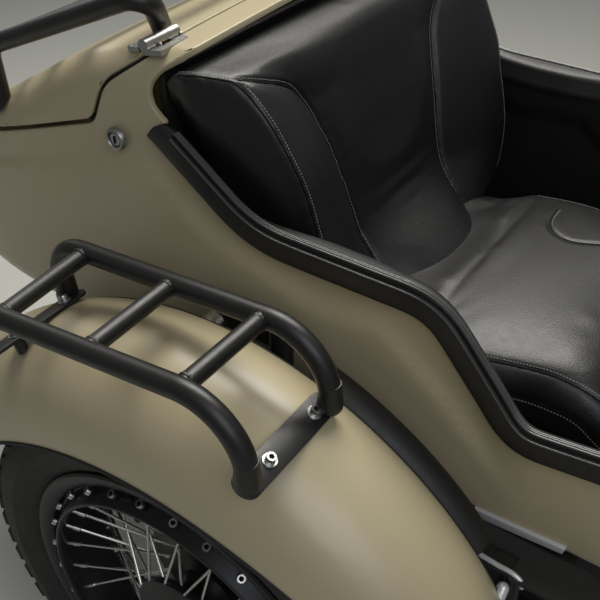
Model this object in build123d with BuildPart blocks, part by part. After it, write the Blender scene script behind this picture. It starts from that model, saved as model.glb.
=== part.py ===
"""Passenger sidecar of a motorcycle: hollow tub, sprung wire wheel, mudguard, racks and chassis.

X points forward, Y to the left, towards the motorcycle, and Z up.
The origin is the centre of the rear lower attachment eye.
"""

import os
from math import cos, pi, radians, sin

from build123d import *

os.makedirs("parts", exist_ok=True)

# Driving dimensions, in millimetres

# Wheel
AXLE_X = 120.0
AXLE_Z = 40.0
WHEEL_Y = -860.0
TYRE_R = 345.0
TYRE_HALF_WIDTH = 54.0
RIM_R = 255.0
HEAD_RING_R = 220.5
HEAD_RING_Y = 39.0
FIRST_HEAD = radians(202)
SPOKES_PER_SIDE = 28
SPOKE_R = 2.0
HUB_FLANGE_R = 74.0
HUB_FLANGE_Y = 31.0
HUB_HALF_WIDTH = 44.0
AXLE_R = 12.0
RUNNING_GAP = 0.05

# Tub
TUB_Y = -410.0
TUB_HALF_WIDTH = 300.0
TUB_WALL = 10.0
TUB_FLOOR_Z = 290.0
PAN_BOTTOM_Z = 34.0
PAN_HALF_WIDTH = 205.0
SEAM_GAP = 3.0
LID_FRONT_X = -34.0
HINGE_X = -36.0
HINGE_Z = 727.5

# Mudguard
GUARD_INNER_Y = -780.0
GUARD_OUTER_Y = -955.0
GUARD_TOP_R = 431.0
GUARD_SKIN = 3.0

# Chassis
RAIL_R = 21.0
RIGHT_RAIL_Y = -590.0
LEFT_RAIL_Y = -230.0
ARM_R = 17.0
EYE_R = 24.0
EYE_BORE_R = 8.0
EYE_LENGTH = 40.0

parts = []


def keep(solid, label):
    """Names a finished piece and writes it to its own file."""
    solid.label = label
    parts.append(label)
    export_step(solid, f"parts/{label}.step")


def rod(start, end, radius):
    """A straight round bar from one point to another."""
    run = Vector(*end) - Vector(*start)
    with BuildPart() as bar:
        with BuildSketch(Plane(origin=start, z_dir=run)):
            Circle(radius)
        extrude(amount=run.length)
    return bar.part


def bent_tube(points, bends, radius):
    """A round bar along straight runs joined by arcs of the given bend radii."""
    with BuildPart() as bar:
        with BuildLine() as path:
            FilletPolyline(*points, radius=bends)
        with BuildSketch(Plane(origin=path.line @ 0, z_dir=path.line % 0)):
            Circle(radius)
        sweep(path=path.line)
    return bar.part


def side_region(points, y_low, y_high):
    """A closed outline in X and Z, carried across from one Y to another."""
    with BuildPart() as region:
        with BuildSketch(Plane(origin=(0, y_high, 0), x_dir=(1, 0, 0), z_dir=(0, -1, 0))):
            Polygon(*points, align=None)
        extrude(amount=y_high - y_low)
    return region.part


# Tub body: sections along X as (x, half width, top, bottom, shoulder radius, lower radius)
TUB_SECTIONS = [
    (-632, 120, 398, 312, 26, 26),
    (-600, 172, 424, 302, 42, 34),
    (-520, 235, 476, 292, 55, 36),
    (-400, 280, 546, 290, 60, 40),
    (-280, 298, 614, 290, 58, 40),
    (-140, 300, 690, 290, 50, 40),
    (-20, 300, 722, 290, 42, 40),
    (400, 300, 735, 290, 60, 40),
    (840, 276, 610, 290, 80, 45),
    (1060, 218, 505, 292, 80, 50),
    (1210, 158, 425, 304, 50, 44),
    (1290, 96, 394, 312, 24, 24),
]


def tub_form(inset, sections=TUB_SECTIONS):
    """The closed outer form of the tub, or the same form drawn in by a wall's thickness."""
    with BuildPart() as form:
        for place, (x, half, top, bottom, shoulder, lower) in enumerate(sections):
            if place == 0:
                x += inset
            if place == len(sections) - 1:
                x -= inset
            h, t, b = half - inset, top - inset, bottom + inset
            with BuildSketch(Plane(origin=(x, TUB_Y, 0), x_dir=(0, 1, 0), z_dir=(1, 0, 0))) as section:
                Polygon((-h, b), (h, b), (h, t), (-h, t), align=None)
                fillet(section.vertices().group_by(Axis.Y)[0], lower - inset / 2)
                fillet(section.vertices().group_by(Axis.Y)[-1], shoulder - inset / 2)
        loft()
    return form.part


# Cockpit side cut as (x, z) corners and their bend radii, from the seat's top to the scuttle
RIM_CORNERS = [(-22, 634), (112, 535), (294, 536), (440, 398), (770, 450), (850, 594)]
RIM_BENDS = [150, 130, 120, 150]
# Rear edge of the opening beside the seat's top: three points of an arc, from the top down
REAR_EDGE = [(8, 716), (-21, 672), (-9, 643)]
SCUTTLE_TOP_X = 858.0
CUT_TOP_Z = 900.0
SIDE_PLANE = Plane(origin=(0, 0, 0), x_dir=(1, 0, 0), z_dir=(0, -1, 0))


def cockpit_cut():
    """What is cut out of the tub above the rim, from the seat's top to the scuttle."""
    with BuildPart() as cut:
        with BuildSketch(SIDE_PLANE):
            with BuildLine():
                rim = FilletPolyline(*RIM_CORNERS, radius=RIM_BENDS)
                Polyline(rim @ 1, (SCUTTLE_TOP_X, CUT_TOP_Z), (REAR_EDGE[0][0], CUT_TOP_Z), REAR_EDGE[0])
                ThreePointArc(*REAR_EDGE)
                Line(REAR_EDGE[-1], rim @ 0)
            make_face()
        extrude(amount=1000)
    return cut.part


# Lid seam as (x, z) corners seen from the side, from the hinge line back and down to the tail
LID_SEAM = [(LID_FRONT_X, 720), (-92, 678), (-115, 618), (-700, 420)]
LID_SEAM_BENDS = [60, 28]


def lid_region(gap):
    """The region above and behind the lid's seam, grown by a gap."""
    with BuildPart() as region:
        with BuildSketch(SIDE_PLANE):
            with BuildLine():
                seam = FilletPolyline(*LID_SEAM, radius=LID_SEAM_BENDS)
                Polyline(seam @ 1, (-700, CUT_TOP_Z), (LID_FRONT_X, CUT_TOP_Z), seam @ 0)
            make_face()
            if gap:
                offset(amount=gap)
        extrude(amount=1000)
    return region.part


outer_form = tub_form(0)
inner_form = tub_form(TUB_WALL)
cockpit = cockpit_cut()
lid_space = lid_region(0)
lid_opening = lid_region(SEAM_GAP)

right_edge = TUB_Y - TUB_HALF_WIDTH

# Floor opening of the tub, over the pan, whose flange it leaves on all sides
PAN_REAR_X, PAN_FRONT_X = -330.0, 1040.0
FLANGE_X, FLANGE_Y = 20.0, 8.0
with BuildPart() as floor_opening:
    with Locations(((PAN_REAR_X + PAN_FRONT_X) / 2, TUB_Y, TUB_FLOOR_Z)):
        Box(PAN_FRONT_X - PAN_REAR_X - 2 * FLANGE_X, 2 * (PAN_HALF_WIDTH - FLANGE_Y), 60)

with BuildPart() as tub:
    add(outer_form)
    add(inner_form, mode=Mode.SUBTRACT)
    add(cockpit, mode=Mode.SUBTRACT)
    add(lid_opening, mode=Mode.SUBTRACT)
    add(floor_opening.part, mode=Mode.SUBTRACT)
keep(tub.part, "tub")

LID_SKIN = 6.0
lid_inner_form = tub_form(LID_SKIN)
with BuildPart() as trunk_lid:
    add(outer_form)
    add(lid_inner_form, mode=Mode.SUBTRACT)
    add(lid_space, mode=Mode.INTERSECT)
keep(trunk_lid.part, "trunk_lid")

# Floor pan under the tub: side outline as (x, z), narrower at the floor than at the tub
PAN_SHEET = 4.0
PAN_FLOOR_HALF = 190.0
PAN_FLOOR_X = (-270.0, 720.0)
PAN_CORNER_R = 30.0


def pan_form(inset, top_z):
    """The pan's outer form, or its hollow when drawn in by the sheet's thickness."""
    floor_z = PAN_BOTTOM_Z + inset
    outline = [
        (floor_z, PAN_FLOOR_X[0] + inset, PAN_FLOOR_X[1] - inset, PAN_FLOOR_HALF - inset),
        (top_z, PAN_REAR_X + inset, PAN_FRONT_X - 1.6 * inset, PAN_HALF_WIDTH - inset),
    ]
    with BuildPart() as form:
        for z, rear, front, half in outline:
            with BuildSketch(Plane.XY.offset(z)):
                with Locations(((rear + front) / 2, TUB_Y)):
                    RectangleRounded(front - rear, 2 * half, PAN_CORNER_R - inset)
        loft(ruled=True)
    return form.part


with BuildPart() as floor_pan:
    add(pan_form(0, TUB_FLOOR_Z))
    add(pan_form(PAN_SHEET, TUB_FLOOR_Z), mode=Mode.SUBTRACT)
    add(outer_form, mode=Mode.SUBTRACT)
keep(floor_pan.part, "floor_pan")

# Lid hinges: near and far, each with outer knuckles on the tub and a middle one on the lid
HINGE_Y = (-664.0, -156.0)
KNUCKLE_R = 7.0
HINGE_PIN_R = 3.0
KNUCKLE_LENGTH = 18.0
KNUCKLE_GAP = 0.4
# Each leaf is a long plate by the knuckle and a broad one at its end, both let into the sloping top
LEAF_THICK = 6.0
LEAF_LENGTH = 26.0
LEAF_SLOPE = 10.6
# Columns: distance of the plate's middle from the hinge line, its depth below it, its length in X
BODY_PLATES = [(13, 5.4, LEAF_LENGTH), (20, 4.2, 12)]
LID_PLATES = [(-13, 10.5, LEAF_LENGTH), (-24, 12.9, 16)]


def knuckle(y, length, radius):
    """One rolled knuckle round the hinge's axis, centred on y."""
    return rod((HINGE_X, y - length / 2, HINGE_Z), (HINGE_X, y + length / 2, HINGE_Z), radius)


def leaf_place(plate, y):
    """Where a leaf's plate lies along the tub's sloping top."""
    along, depth, _ = plate
    return Location((HINGE_X + along, y, HINGE_Z - depth), (0, -LEAF_SLOPE, 0))


outer_knuckle = KNUCKLE_LENGTH + KNUCKLE_GAP
body_knuckles = [knuckle(y + side * outer_knuckle, KNUCKLE_LENGTH, KNUCKLE_R)
                 for y in HINGE_Y for side in (-1, 1)]
hinge_pins = [knuckle(y, 3 * KNUCKLE_LENGTH, HINGE_PIN_R) for y in HINGE_Y]
with BuildPart() as hinge_body_leaves:
    for solid in body_knuckles + hinge_pins:
        add(solid)
    long_plate, broad_plate = BODY_PLATES
    for y in HINGE_Y:
        for side in (-1, 1):
            with Locations(leaf_place(long_plate, y + side * outer_knuckle)):
                Box(long_plate[2], KNUCKLE_LENGTH, LEAF_THICK)
        with Locations(leaf_place(broad_plate, y)):
            Box(broad_plate[2], 3 * KNUCKLE_LENGTH, LEAF_THICK)
    add(outer_form, mode=Mode.SUBTRACT)
keep(hinge_body_leaves.part, "hinge_body_leaves")

lid_knuckles = [knuckle(y, KNUCKLE_LENGTH, KNUCKLE_R) for y in HINGE_Y]
lid_pin_holes = [knuckle(y, 3 * KNUCKLE_LENGTH, HINGE_PIN_R + RUNNING_GAP) for y in HINGE_Y]
with BuildPart() as hinge_lid_leaves:
    for solid in lid_knuckles:
        add(solid)
    long_plate, broad_plate = LID_PLATES
    for y in HINGE_Y:
        with Locations(leaf_place(long_plate, y)):
            Box(long_plate[2], KNUCKLE_LENGTH, LEAF_THICK)
        with Locations(leaf_place(broad_plate, y)):
            Box(broad_plate[2], 2 * KNUCKLE_LENGTH, LEAF_THICK)
    for solid in lid_pin_holes:
        add(solid, mode=Mode.SUBTRACT)
    add(outer_form, mode=Mode.SUBTRACT)
keep(hinge_lid_leaves.part, "hinge_lid_leaves")

# Lid lock in the tub's right side
LOCK_X, LOCK_Z, LOCK_R = -78.0, 611.0, 12.0
lock_barrel = rod((LOCK_X, right_edge + 4, LOCK_Z), (LOCK_X, right_edge - 4, LOCK_Z), LOCK_R)
with BuildPart() as lid_lock:
    add(lock_barrel)
    add(outer_form, mode=Mode.SUBTRACT)
keep(lid_lock.part, "lid_lock")

# Padded rim: a roll along both sides of the cockpit and across the scuttle
PAD_HEIGHT = 41.0
PAD_OUT = 13.0
PAD_IN = 13.0


def pad_band(y_low, y_high):
    """The padding's side outline: a strip of even height on the rim line."""
    with BuildPart() as band:
        with BuildSketch(Plane(origin=(0, y_high, 0), x_dir=(1, 0, 0), z_dir=(0, -1, 0))):
            with BuildLine():
                rim = FilletPolyline(*RIM_CORNERS, radius=RIM_BENDS)
                offset(rim, amount=PAD_HEIGHT, side=Side.LEFT)
            make_face()
        extrude(amount=y_high - y_low)
    return band.part


# The padding follows the tub's sides, proud of them inside and outside
cockpit_sections = TUB_SECTIONS[5:10]
pad_outer_form = tub_form(-PAD_OUT, cockpit_sections)
pad_inner_form = tub_form(PAD_IN, cockpit_sections)


def pad_side(y_low, y_high):
    """One side's padding, between the forms that it follows."""
    with BuildPart() as side:
        add(pad_band(y_low, y_high))
        add(pad_outer_form, mode=Mode.INTERSECT)
        add(pad_inner_form, mode=Mode.SUBTRACT)
        add(tub.part, mode=Mode.SUBTRACT)
    return side.part


pad_right = pad_side(TUB_Y - 340, TUB_Y - 200)
pad_left = pad_side(TUB_Y + 200, TUB_Y + 340)
with BuildPart() as rim_padding_right:
    add(pad_right)
keep(rim_padding_right.part, "rim_padding_right")
with BuildPart() as rim_padding_left:
    add(pad_left)
keep(rim_padding_left.part, "rim_padding_left")

# Roll along the scuttle's rear edge, between the two sides
scuttle_x, scuttle_z = RIM_CORNERS[-1]
with BuildPart() as scuttle_padding:
    with Locations((scuttle_x - PAD_HEIGHT / 2, TUB_Y, scuttle_z + 50)):
        Box(PAD_HEIGHT, 2 * TUB_HALF_WIDTH, 100)
    add(pad_outer_form, mode=Mode.INTERSECT)
    add(pad_inner_form, mode=Mode.SUBTRACT)
    add(pad_right, mode=Mode.SUBTRACT)
    add(pad_left, mode=Mode.SUBTRACT)
keep(scuttle_padding.part, "scuttle_padding")

# Bulkhead between trunk and cockpit
BULKHEAD_FRONT_X = -12.0
BULKHEAD_THICK = 8.0
BULKHEAD_HALF = 278.0
BULKHEAD_TOP_Z = 701.0
bulkhead_low_z = TUB_FLOOR_Z + 15
with BuildPart() as bulkhead:
    with Locations((BULKHEAD_FRONT_X - BULKHEAD_THICK / 2, TUB_Y, (BULKHEAD_TOP_Z + bulkhead_low_z) / 2)):
        Box(BULKHEAD_THICK, 2 * BULKHEAD_HALF, BULKHEAD_TOP_Z - bulkhead_low_z)
    add(inner_form, mode=Mode.INTERSECT)
keep(bulkhead.part, "bulkhead")

# Trim panels on the tub's walls and ledges inside the cockpit
LINING = 5.0
with BuildPart() as cockpit_lining:
    add(tub_form(TUB_WALL + 0.5))
    add(tub_form(TUB_WALL + LINING), mode=Mode.SUBTRACT)
    with Locations((405, TUB_Y, 500)):
        Box(790, 700, 500, mode=Mode.INTERSECT)
    add(cockpit, mode=Mode.SUBTRACT)
    add(floor_opening.part, mode=Mode.SUBTRACT)
keep(cockpit_lining.part, "cockpit_lining")

# Seat back against the bulkhead: flat sections with a raised bolster on each side of a hollow middle
# Columns: height, x and half width behind, x and half width of the bolster's crest,
# x and half width of the valley inside it, x in the middle
BACK_LEVELS = [
    (400, -12, 250, 184, 244, 192, 112, 252),
    (460, -12, 254, 190, 248, 150, 114, 166),
    (550, -12, 258, 176, 250, 121, 128, 115),
    (640, -12, 272, 146, 252, 93, 153, 86),
    (688, -12, 281, 110, 256, 87, 206, 72),
    (702, -3, 285, 92, 260, 84, 236, 67),
    (711, 7, 287, 78, 262, 75, 250, 62),
    (721, 24, 274, 54, 250, 52, 238, 46),
]
BOLSTER_SWELL = 9.0
with BuildPart() as seat_back:
    for z, rear_x, rear_half, crest_x, crest_half, valley_x, valley_half, middle_x in BACK_LEVELS:
        with BuildSketch(Plane((0, TUB_Y, z))):
            with BuildLine():
                swell_x = (crest_x + valley_x) / 2 + BOLSTER_SWELL
                swell_half = (crest_half + valley_half) / 2
                Polyline((crest_x, -crest_half), (rear_x, -rear_half), (rear_x, rear_half), (crest_x, crest_half))
                ThreePointArc((crest_x, crest_half), (swell_x, swell_half), (valley_x, valley_half))
                ThreePointArc((valley_x, valley_half), (middle_x, 0), (valley_x, -valley_half))
                ThreePointArc((valley_x, -valley_half), (swell_x, -swell_half), (crest_x, -crest_half))
            make_face()
    loft(ruled=True)
keep(seat_back.part, "seat_back")

# Cushion on its base: its side outline as (x, z), its plan a rounded rectangle
BASE_TOP_Z = 317.0
CUSHION_HALF = 205.0
CUSHION_X = (106.0, 600.0)
CUSHION_CORNER_R = 45.0
CUSHION_TOP = [(CUSHION_X[0], 400), (256, 400), (282, 417), (340, 427), (560, 432), (CUSHION_X[1], 424)]
cushion_side = side_region(
    [(CUSHION_X[0], BASE_TOP_Z), *CUSHION_TOP, (CUSHION_X[1], BASE_TOP_Z)],
    TUB_Y - TUB_HALF_WIDTH, TUB_Y + TUB_HALF_WIDTH)
with BuildPart() as seat_cushion:
    with BuildSketch(Plane.XY.offset(BASE_TOP_Z)):
        with Locations((sum(CUSHION_X) / 2, TUB_Y)):
            RectangleRounded(CUSHION_X[1] - CUSHION_X[0], 2 * CUSHION_HALF, CUSHION_CORNER_R)
    extrude(amount=130)
    add(cushion_side, mode=Mode.INTERSECT)
keep(seat_cushion.part, "seat_cushion")

# Seat base: a moulded box, open below, standing on the pan
BASE_SIZE = (470.0, 350.0)
BASE_X = 350.0
BASE_WALL = 10.0
base_low_z = PAN_BOTTOM_Z + PAN_SHEET + 1
base_height = BASE_TOP_Z - base_low_z
with BuildPart() as seat_base:
    with Locations((BASE_X, TUB_Y, base_low_z + base_height / 2)):
        Box(*BASE_SIZE, base_height)
    with Locations((BASE_X, TUB_Y, base_low_z + base_height / 2 - BASE_WALL)):
        Box(BASE_SIZE[0] - 2 * BASE_WALL, BASE_SIZE[1] - 2 * BASE_WALL, base_height, mode=Mode.SUBTRACT)
keep(seat_base.part, "seat_base")

# Mat in the foot well, with ribs along it
MAT_X = (590.0, 710.0)
MAT_HALF = 175.0
MAT_THICK = 6.0
MAT_RIBS = 9
with BuildPart() as floor_mat:
    with Locations((sum(MAT_X) / 2, TUB_Y, PAN_BOTTOM_Z + PAN_SHEET + MAT_THICK / 2)):
        Box(MAT_X[1] - MAT_X[0], 2 * MAT_HALF, MAT_THICK)
    with BuildSketch(Plane.XY.offset(PAN_BOTTOM_Z + PAN_SHEET + MAT_THICK)):
        with Locations((sum(MAT_X) / 2, TUB_Y)):
            with GridLocations(0, 2 * MAT_HALF / MAT_RIBS, 1, MAT_RIBS):
                Rectangle(MAT_X[1] - MAT_X[0] - 16, 8)
    extrude(amount=2)
keep(floor_mat.part, "floor_mat")

# Chassis: two long rails with raised fronts, joined by cross tubes
RAIL_FRONT = [(-440, 0), (1010, 0), (1200, 150)]
rails = {
    side: bent_tube([(x, y, z) for x, z in RAIL_FRONT], [180], RAIL_R)
    for side, y in (("right", RIGHT_RAIL_Y), ("left", LEFT_RAIL_Y))
}
with BuildPart() as frame_rail_right:
    add(rails["right"])
keep(frame_rail_right.part, "frame_rail_right")
with BuildPart() as frame_rail_left:
    add(rails["left"])
keep(frame_rail_left.part, "frame_rail_left")

# Cross tubes as (name, x, z)
CROSS_TUBES = [
    ("cross_tube_rear", -400, 0),
    ("cross_tube_middle", 60, 0),
    ("cross_tube_front", 800, 0),
]
for name, x, z in CROSS_TUBES:
    bar = rod((x, RIGHT_RAIL_Y, z), (x, LEFT_RAIL_Y, z), ARM_R)
    with BuildPart() as cross_tube:
        add(bar)
        add(rails["right"], mode=Mode.SUBTRACT)
        add(rails["left"], mode=Mode.SUBTRACT)
    keep(cross_tube.part, name)

# Nose tube between the raised fronts of the rails, with a post up to the tub
nose_x, nose_z = RAIL_FRONT[-1]
nose_bar = rod((nose_x, RIGHT_RAIL_Y - RAIL_R, nose_z), (nose_x, LEFT_RAIL_Y + RAIL_R, nose_z), RAIL_R)
nose_post = rod((nose_x, TUB_Y, nose_z), (nose_x - 20, TUB_Y, 330), ARM_R)
with BuildPart() as nose_tube:
    add(nose_bar)
    add(nose_post)
    add(rails["right"], mode=Mode.SUBTRACT)
    add(rails["left"], mode=Mode.SUBTRACT)
    add(outer_form, mode=Mode.SUBTRACT)
keep(nose_tube.part, "nose_tube")

# Rubber mounts between the rails and the pan
BODY_MOUNT_X = (-200, 600)
with BuildPart() as body_mounts:
    for x in BODY_MOUNT_X:
        for y in (RIGHT_RAIL_Y, LEFT_RAIL_Y):
            with Locations((x, y, PAN_BOTTOM_Z - 11)):
                Cylinder(16, 22)
    add(rails["right"], mode=Mode.SUBTRACT)
    add(rails["left"], mode=Mode.SUBTRACT)
keep(body_mounts.part, "body_mounts")

# Outriggers on the wheel's side: swingarm pivot tube and the foot of the suspension tower
PIVOT_X = 450.0
SWINGARM_Y = -766.0
SWINGARM_R = 16.0
TOWER_X = 170.0
TOWER_Y = -731.0
TOWER_R = 14.0
SHOCK_TOP = (90.0, -763.0, 442.0)
SHOCK_FOOT = (110.0, -766.0, 104.0)
pivot_bar = rod((PIVOT_X, SWINGARM_Y + 20, 0), (PIVOT_X, RIGHT_RAIL_Y, 0), RAIL_R - 2)
with BuildPart() as pivot_outrigger:
    add(pivot_bar)
    add(rails["right"], mode=Mode.SUBTRACT)
keep(pivot_outrigger.part, "pivot_outrigger")

tower_bar = bent_tube(
    [(TOWER_X, RIGHT_RAIL_Y, 0), (TOWER_X, TOWER_Y, 0), (TOWER_X, TOWER_Y, 458)], [50], TOWER_R)
top_pin = rod((SHOCK_TOP[0], TOWER_Y, SHOCK_TOP[2]), (SHOCK_TOP[0], SHOCK_TOP[1] - 20, SHOCK_TOP[2]), 7)
with BuildPart() as suspension_tower:
    add(tower_bar)
    add(top_pin)
    with Locations((126, TOWER_Y, 442)):
        Box(96, 8, 32)
    add(rails["right"], mode=Mode.SUBTRACT)
keep(suspension_tower.part, "suspension_tower")

# Swingarm with its pivot boss, axle boss and the shock absorber's lower pin
arm_bar = rod((PIVOT_X, SWINGARM_Y, 0), (AXLE_X, SWINGARM_Y, AXLE_Z), SWINGARM_R)
pivot_boss = rod((PIVOT_X, SWINGARM_Y - 18, 0), (PIVOT_X, SWINGARM_Y + 18, 0), 27)
axle_boss = rod((AXLE_X, SWINGARM_Y - 20, AXLE_Z), (AXLE_X, SWINGARM_Y + 14, AXLE_Z), 28)
foot_pin = rod((SHOCK_FOOT[0], SWINGARM_Y - 20, SHOCK_FOOT[2]), (SHOCK_FOOT[0], SWINGARM_Y + 20, SHOCK_FOOT[2]), 7)
with BuildPart() as swingarm:
    for solid in (arm_bar, pivot_boss, axle_boss, foot_pin):
        add(solid)
    for side in (-1, 1):
        with Locations((SHOCK_FOOT[0], SWINGARM_Y + side * 17, 78)):
            Box(30, 4, 78)
keep(swingarm.part, "swingarm")

axle_bar = rod((AXLE_X, SWINGARM_Y - 20, AXLE_Z), (AXLE_X, WHEEL_Y - HUB_HALF_WIDTH - 26, AXLE_Z), AXLE_R)
axle_nut = rod((AXLE_X, WHEEL_Y - HUB_HALF_WIDTH - 20, AXLE_Z), (AXLE_X, WHEEL_Y - HUB_HALF_WIDTH - 8, AXLE_Z), 16)
with BuildPart() as axle:
    add(axle_bar)
    add(axle_nut)
keep(axle.part, "axle")

# Shock absorber: damper inside its coil spring
shock_run = Vector(*SHOCK_TOP) - Vector(*SHOCK_FOOT)
shock_plane = Plane(origin=SHOCK_FOOT, z_dir=shock_run)
# Along the shock absorber, as (from, to, radius)
DAMPER_STEPS = [
    (8, 120, 9),
    (30, 38, 29),
    (100, shock_run.length - 14, 20),
    (shock_run.length - 60, shock_run.length - 50, 29),
]
shock_eyes = [rod((x, y - 13, z), (x, y + 13, z), 15) for x, y, z in (SHOCK_FOOT, SHOCK_TOP)]
shock_eye_holes = [rod((x, y - 22, z), (x, y + 22, z), 7) for x, y, z in (SHOCK_FOOT, SHOCK_TOP)]
SPRING_COILS = 8
SPRING_WIRE_R = 4.0
SPRING_R = 25.0
with BuildPart() as shock_absorber:
    for low, high, radius in DAMPER_STEPS:
        with BuildSketch(shock_plane.offset(low)):
            Circle(radius)
        extrude(amount=high - low)
    for solid in shock_eyes:
        add(solid)
    for solid in shock_eye_holes:
        add(solid, mode=Mode.SUBTRACT)
keep(shock_absorber.part, "shock_absorber")

# The coil spring between its two seats, each turn a ring
spring_low = DAMPER_STEPS[1][1] + SPRING_WIRE_R
spring_high = DAMPER_STEPS[3][0] - SPRING_WIRE_R
coil_heights = [
    spring_low + (spring_high - spring_low) * turn / (SPRING_COILS - 1) for turn in range(SPRING_COILS)
]
coils = [shock_plane.offset(height) * Torus(SPRING_R, SPRING_WIRE_R) for height in coil_heights]
with BuildPart() as shock_spring:
    for solid in coils:
        add(solid)
keep(shock_spring.part, "shock_spring")

# Wheel: lathe forms about the axle
AXLE_CENTRE = (AXLE_X, WHEEL_Y, AXLE_Z)
WHEEL_PLANE = Plane(origin=AXLE_CENTRE, x_dir=(1, 0, 0), z_dir=(0, 0, 1))
WHEEL_AXIS = Axis(AXLE_CENTRE, (0, 1, 0))

with BuildPart() as tyre:
    with BuildSketch(WHEEL_PLANE):
        with BuildLine():
            Line((RIM_R - 24, -34), (RIM_R + 1, -34))
            ThreePointArc((RIM_R + 1, -34), (RIM_R + 38, -TYRE_HALF_WIDTH), (TYRE_R - 16, -46))
            ThreePointArc((TYRE_R - 16, -46), (TYRE_R, 0), (TYRE_R - 16, 46))
            ThreePointArc((TYRE_R - 16, 46), (RIM_R + 38, TYRE_HALF_WIDTH), (RIM_R + 1, 34))
            Polyline((RIM_R + 1, 34), (RIM_R - 24, 34), (RIM_R - 24, -34))
        make_face()
    revolve(axis=WHEEL_AXIS)
keep(tyre.part, "tyre")

def mirrored_profile(near):
    """A wheel outline as (radius, y) given for its near half, closed with its mirror."""
    return near + [(r, -y) for r, y in reversed(near)]


# Rim, near half: bead seat, lip, channel, sloping spoke flange and barrel
RIM_NEAR = [
    (RIM_R - 24.5, -34.5), (RIM_R, -34.5), (RIM_R, -44), (RIM_R - 7, -48), (RIM_R - 23, -45), (RIM_R - 26, -34),
    (RIM_R - 31, -29), (RIM_R - 40, -50), (RIM_R - 45, -52), (RIM_R - 48, -44), (RIM_R - 42, -30), (RIM_R - 39, -8),
]
with BuildPart() as rim:
    with BuildSketch(WHEEL_PLANE):
        Polygon(*mirrored_profile(RIM_NEAR), align=None)
    revolve(axis=WHEEL_AXIS)
keep(rim.part, "rim")

HUB_NEAR = [
    (AXLE_R + RUNNING_GAP, -HUB_HALF_WIDTH), (28, -HUB_HALF_WIDTH), (33, -39), (70, -38), (HUB_FLANGE_R, -36),
    (HUB_FLANGE_R, -26), (70, -24), (44, -19), (39, -6),
]
with BuildPart() as hub:
    with BuildSketch(WHEEL_PLANE):
        Polygon(*mirrored_profile(HUB_NEAR), align=None)
    revolve(axis=WHEEL_AXIS)
keep(hub.part, "hub")

# Spokes: each runs from a flange of the rim to the opposite flange of the hub, leaning round the axle
SPOKE_LEAN = radians(15)
SPOKE_STAGGER = 4.0
# Share of the run from the head to where the wire leaves the rim's inner face
RIM_SHARE = 0.062


def wheel_point(radius, y, angle):
    """A place on the wheel at a radius, a distance along the axle and an angle about it."""
    return Vector(AXLE_X + radius * cos(angle), WHEEL_Y + y, AXLE_Z + radius * sin(angle))


def spoke_ends(count, side):
    """End points of one spoke, at the rim's inner face and in the hub's flange."""
    at_rim = FIRST_HEAD + 2 * pi * (count + (0.5 if side > 0 else 0)) / SPOKES_PER_SIDE
    turn = 1 if count % 2 else -1
    head = wheel_point(HEAD_RING_R, side * HEAD_RING_Y, at_rim)
    foot = wheel_point(HUB_FLANGE_R - 1, -side * (HUB_FLANGE_Y + turn * SPOKE_STAGGER), at_rim + turn * SPOKE_LEAN)
    return head + (foot - head) * RIM_SHARE, foot


spoke_bars = [rod(*spoke_ends(count, side), SPOKE_R) for side in (-1, 1) for count in range(SPOKES_PER_SIDE)]
spokes = Compound(children=spoke_bars)
keep(spokes, "spokes")

with BuildPart() as brake_disc:
    with BuildSketch(Plane(origin=(AXLE_X, WHEEL_Y + HUB_HALF_WIDTH + 0.2, AXLE_Z), z_dir=(0, 1, 0))):
        Circle(120)
        Circle(30, mode=Mode.SUBTRACT)
    extrude(amount=5)
keep(brake_disc.part, "brake_disc")

# Caliper over the disc's rear edge, on a plate from the axle boss
CALIPER_X, CALIPER_Z = AXLE_X - 104, AXLE_Z + 68
disc_y = WHEEL_Y + HUB_HALF_WIDTH + 2.7
disc_slot = rod((AXLE_X, disc_y - 6, AXLE_Z), (AXLE_X, disc_y + 6, AXLE_Z), 125)
with BuildPart() as brake_caliper:
    with Locations((CALIPER_X, -807, CALIPER_Z)):
        Box(56, 34, 56)
    add(disc_slot, mode=Mode.SUBTRACT)
    with Locations((AXLE_X - 62, -791, AXLE_Z + 42)):
        Box(90, 8, 60)
    add(swingarm.part, mode=Mode.SUBTRACT)
    add(axle.part, mode=Mode.SUBTRACT)
keep(brake_caliper.part, "brake_caliper")

# Mudguard: a rounded shell about the axle, its outer skirt cut along a flatter arc
GUARD_ANGLES = (20.0, 168.0)
GUARD_SKIRT_R = 330.0
SKIRT_ARC_CENTRE = (152.0, -56.0)
SKIRT_ARC_R = 442.0
SKIRT_MAX_R = 388.0
lathe_plane = Plane(origin=(AXLE_X, 0, AXLE_Z), x_dir=(1, 0, 0), z_dir=(0, 0, 1))
lathe_axis = Axis((AXLE_X, 0, AXLE_Z), (0, 1, 0))


def lathe_arc(outline, angles):
    """A closed outline in (radius, y) turned about the axle between two angles from forward."""
    with BuildPart() as ring:
        with BuildSketch(lathe_plane):
            add(outline)
        revolve(axis=lathe_axis, revolution_arc=angles[1] - angles[0])
    return ring.part.rotate(lathe_axis, -angles[1])


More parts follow.
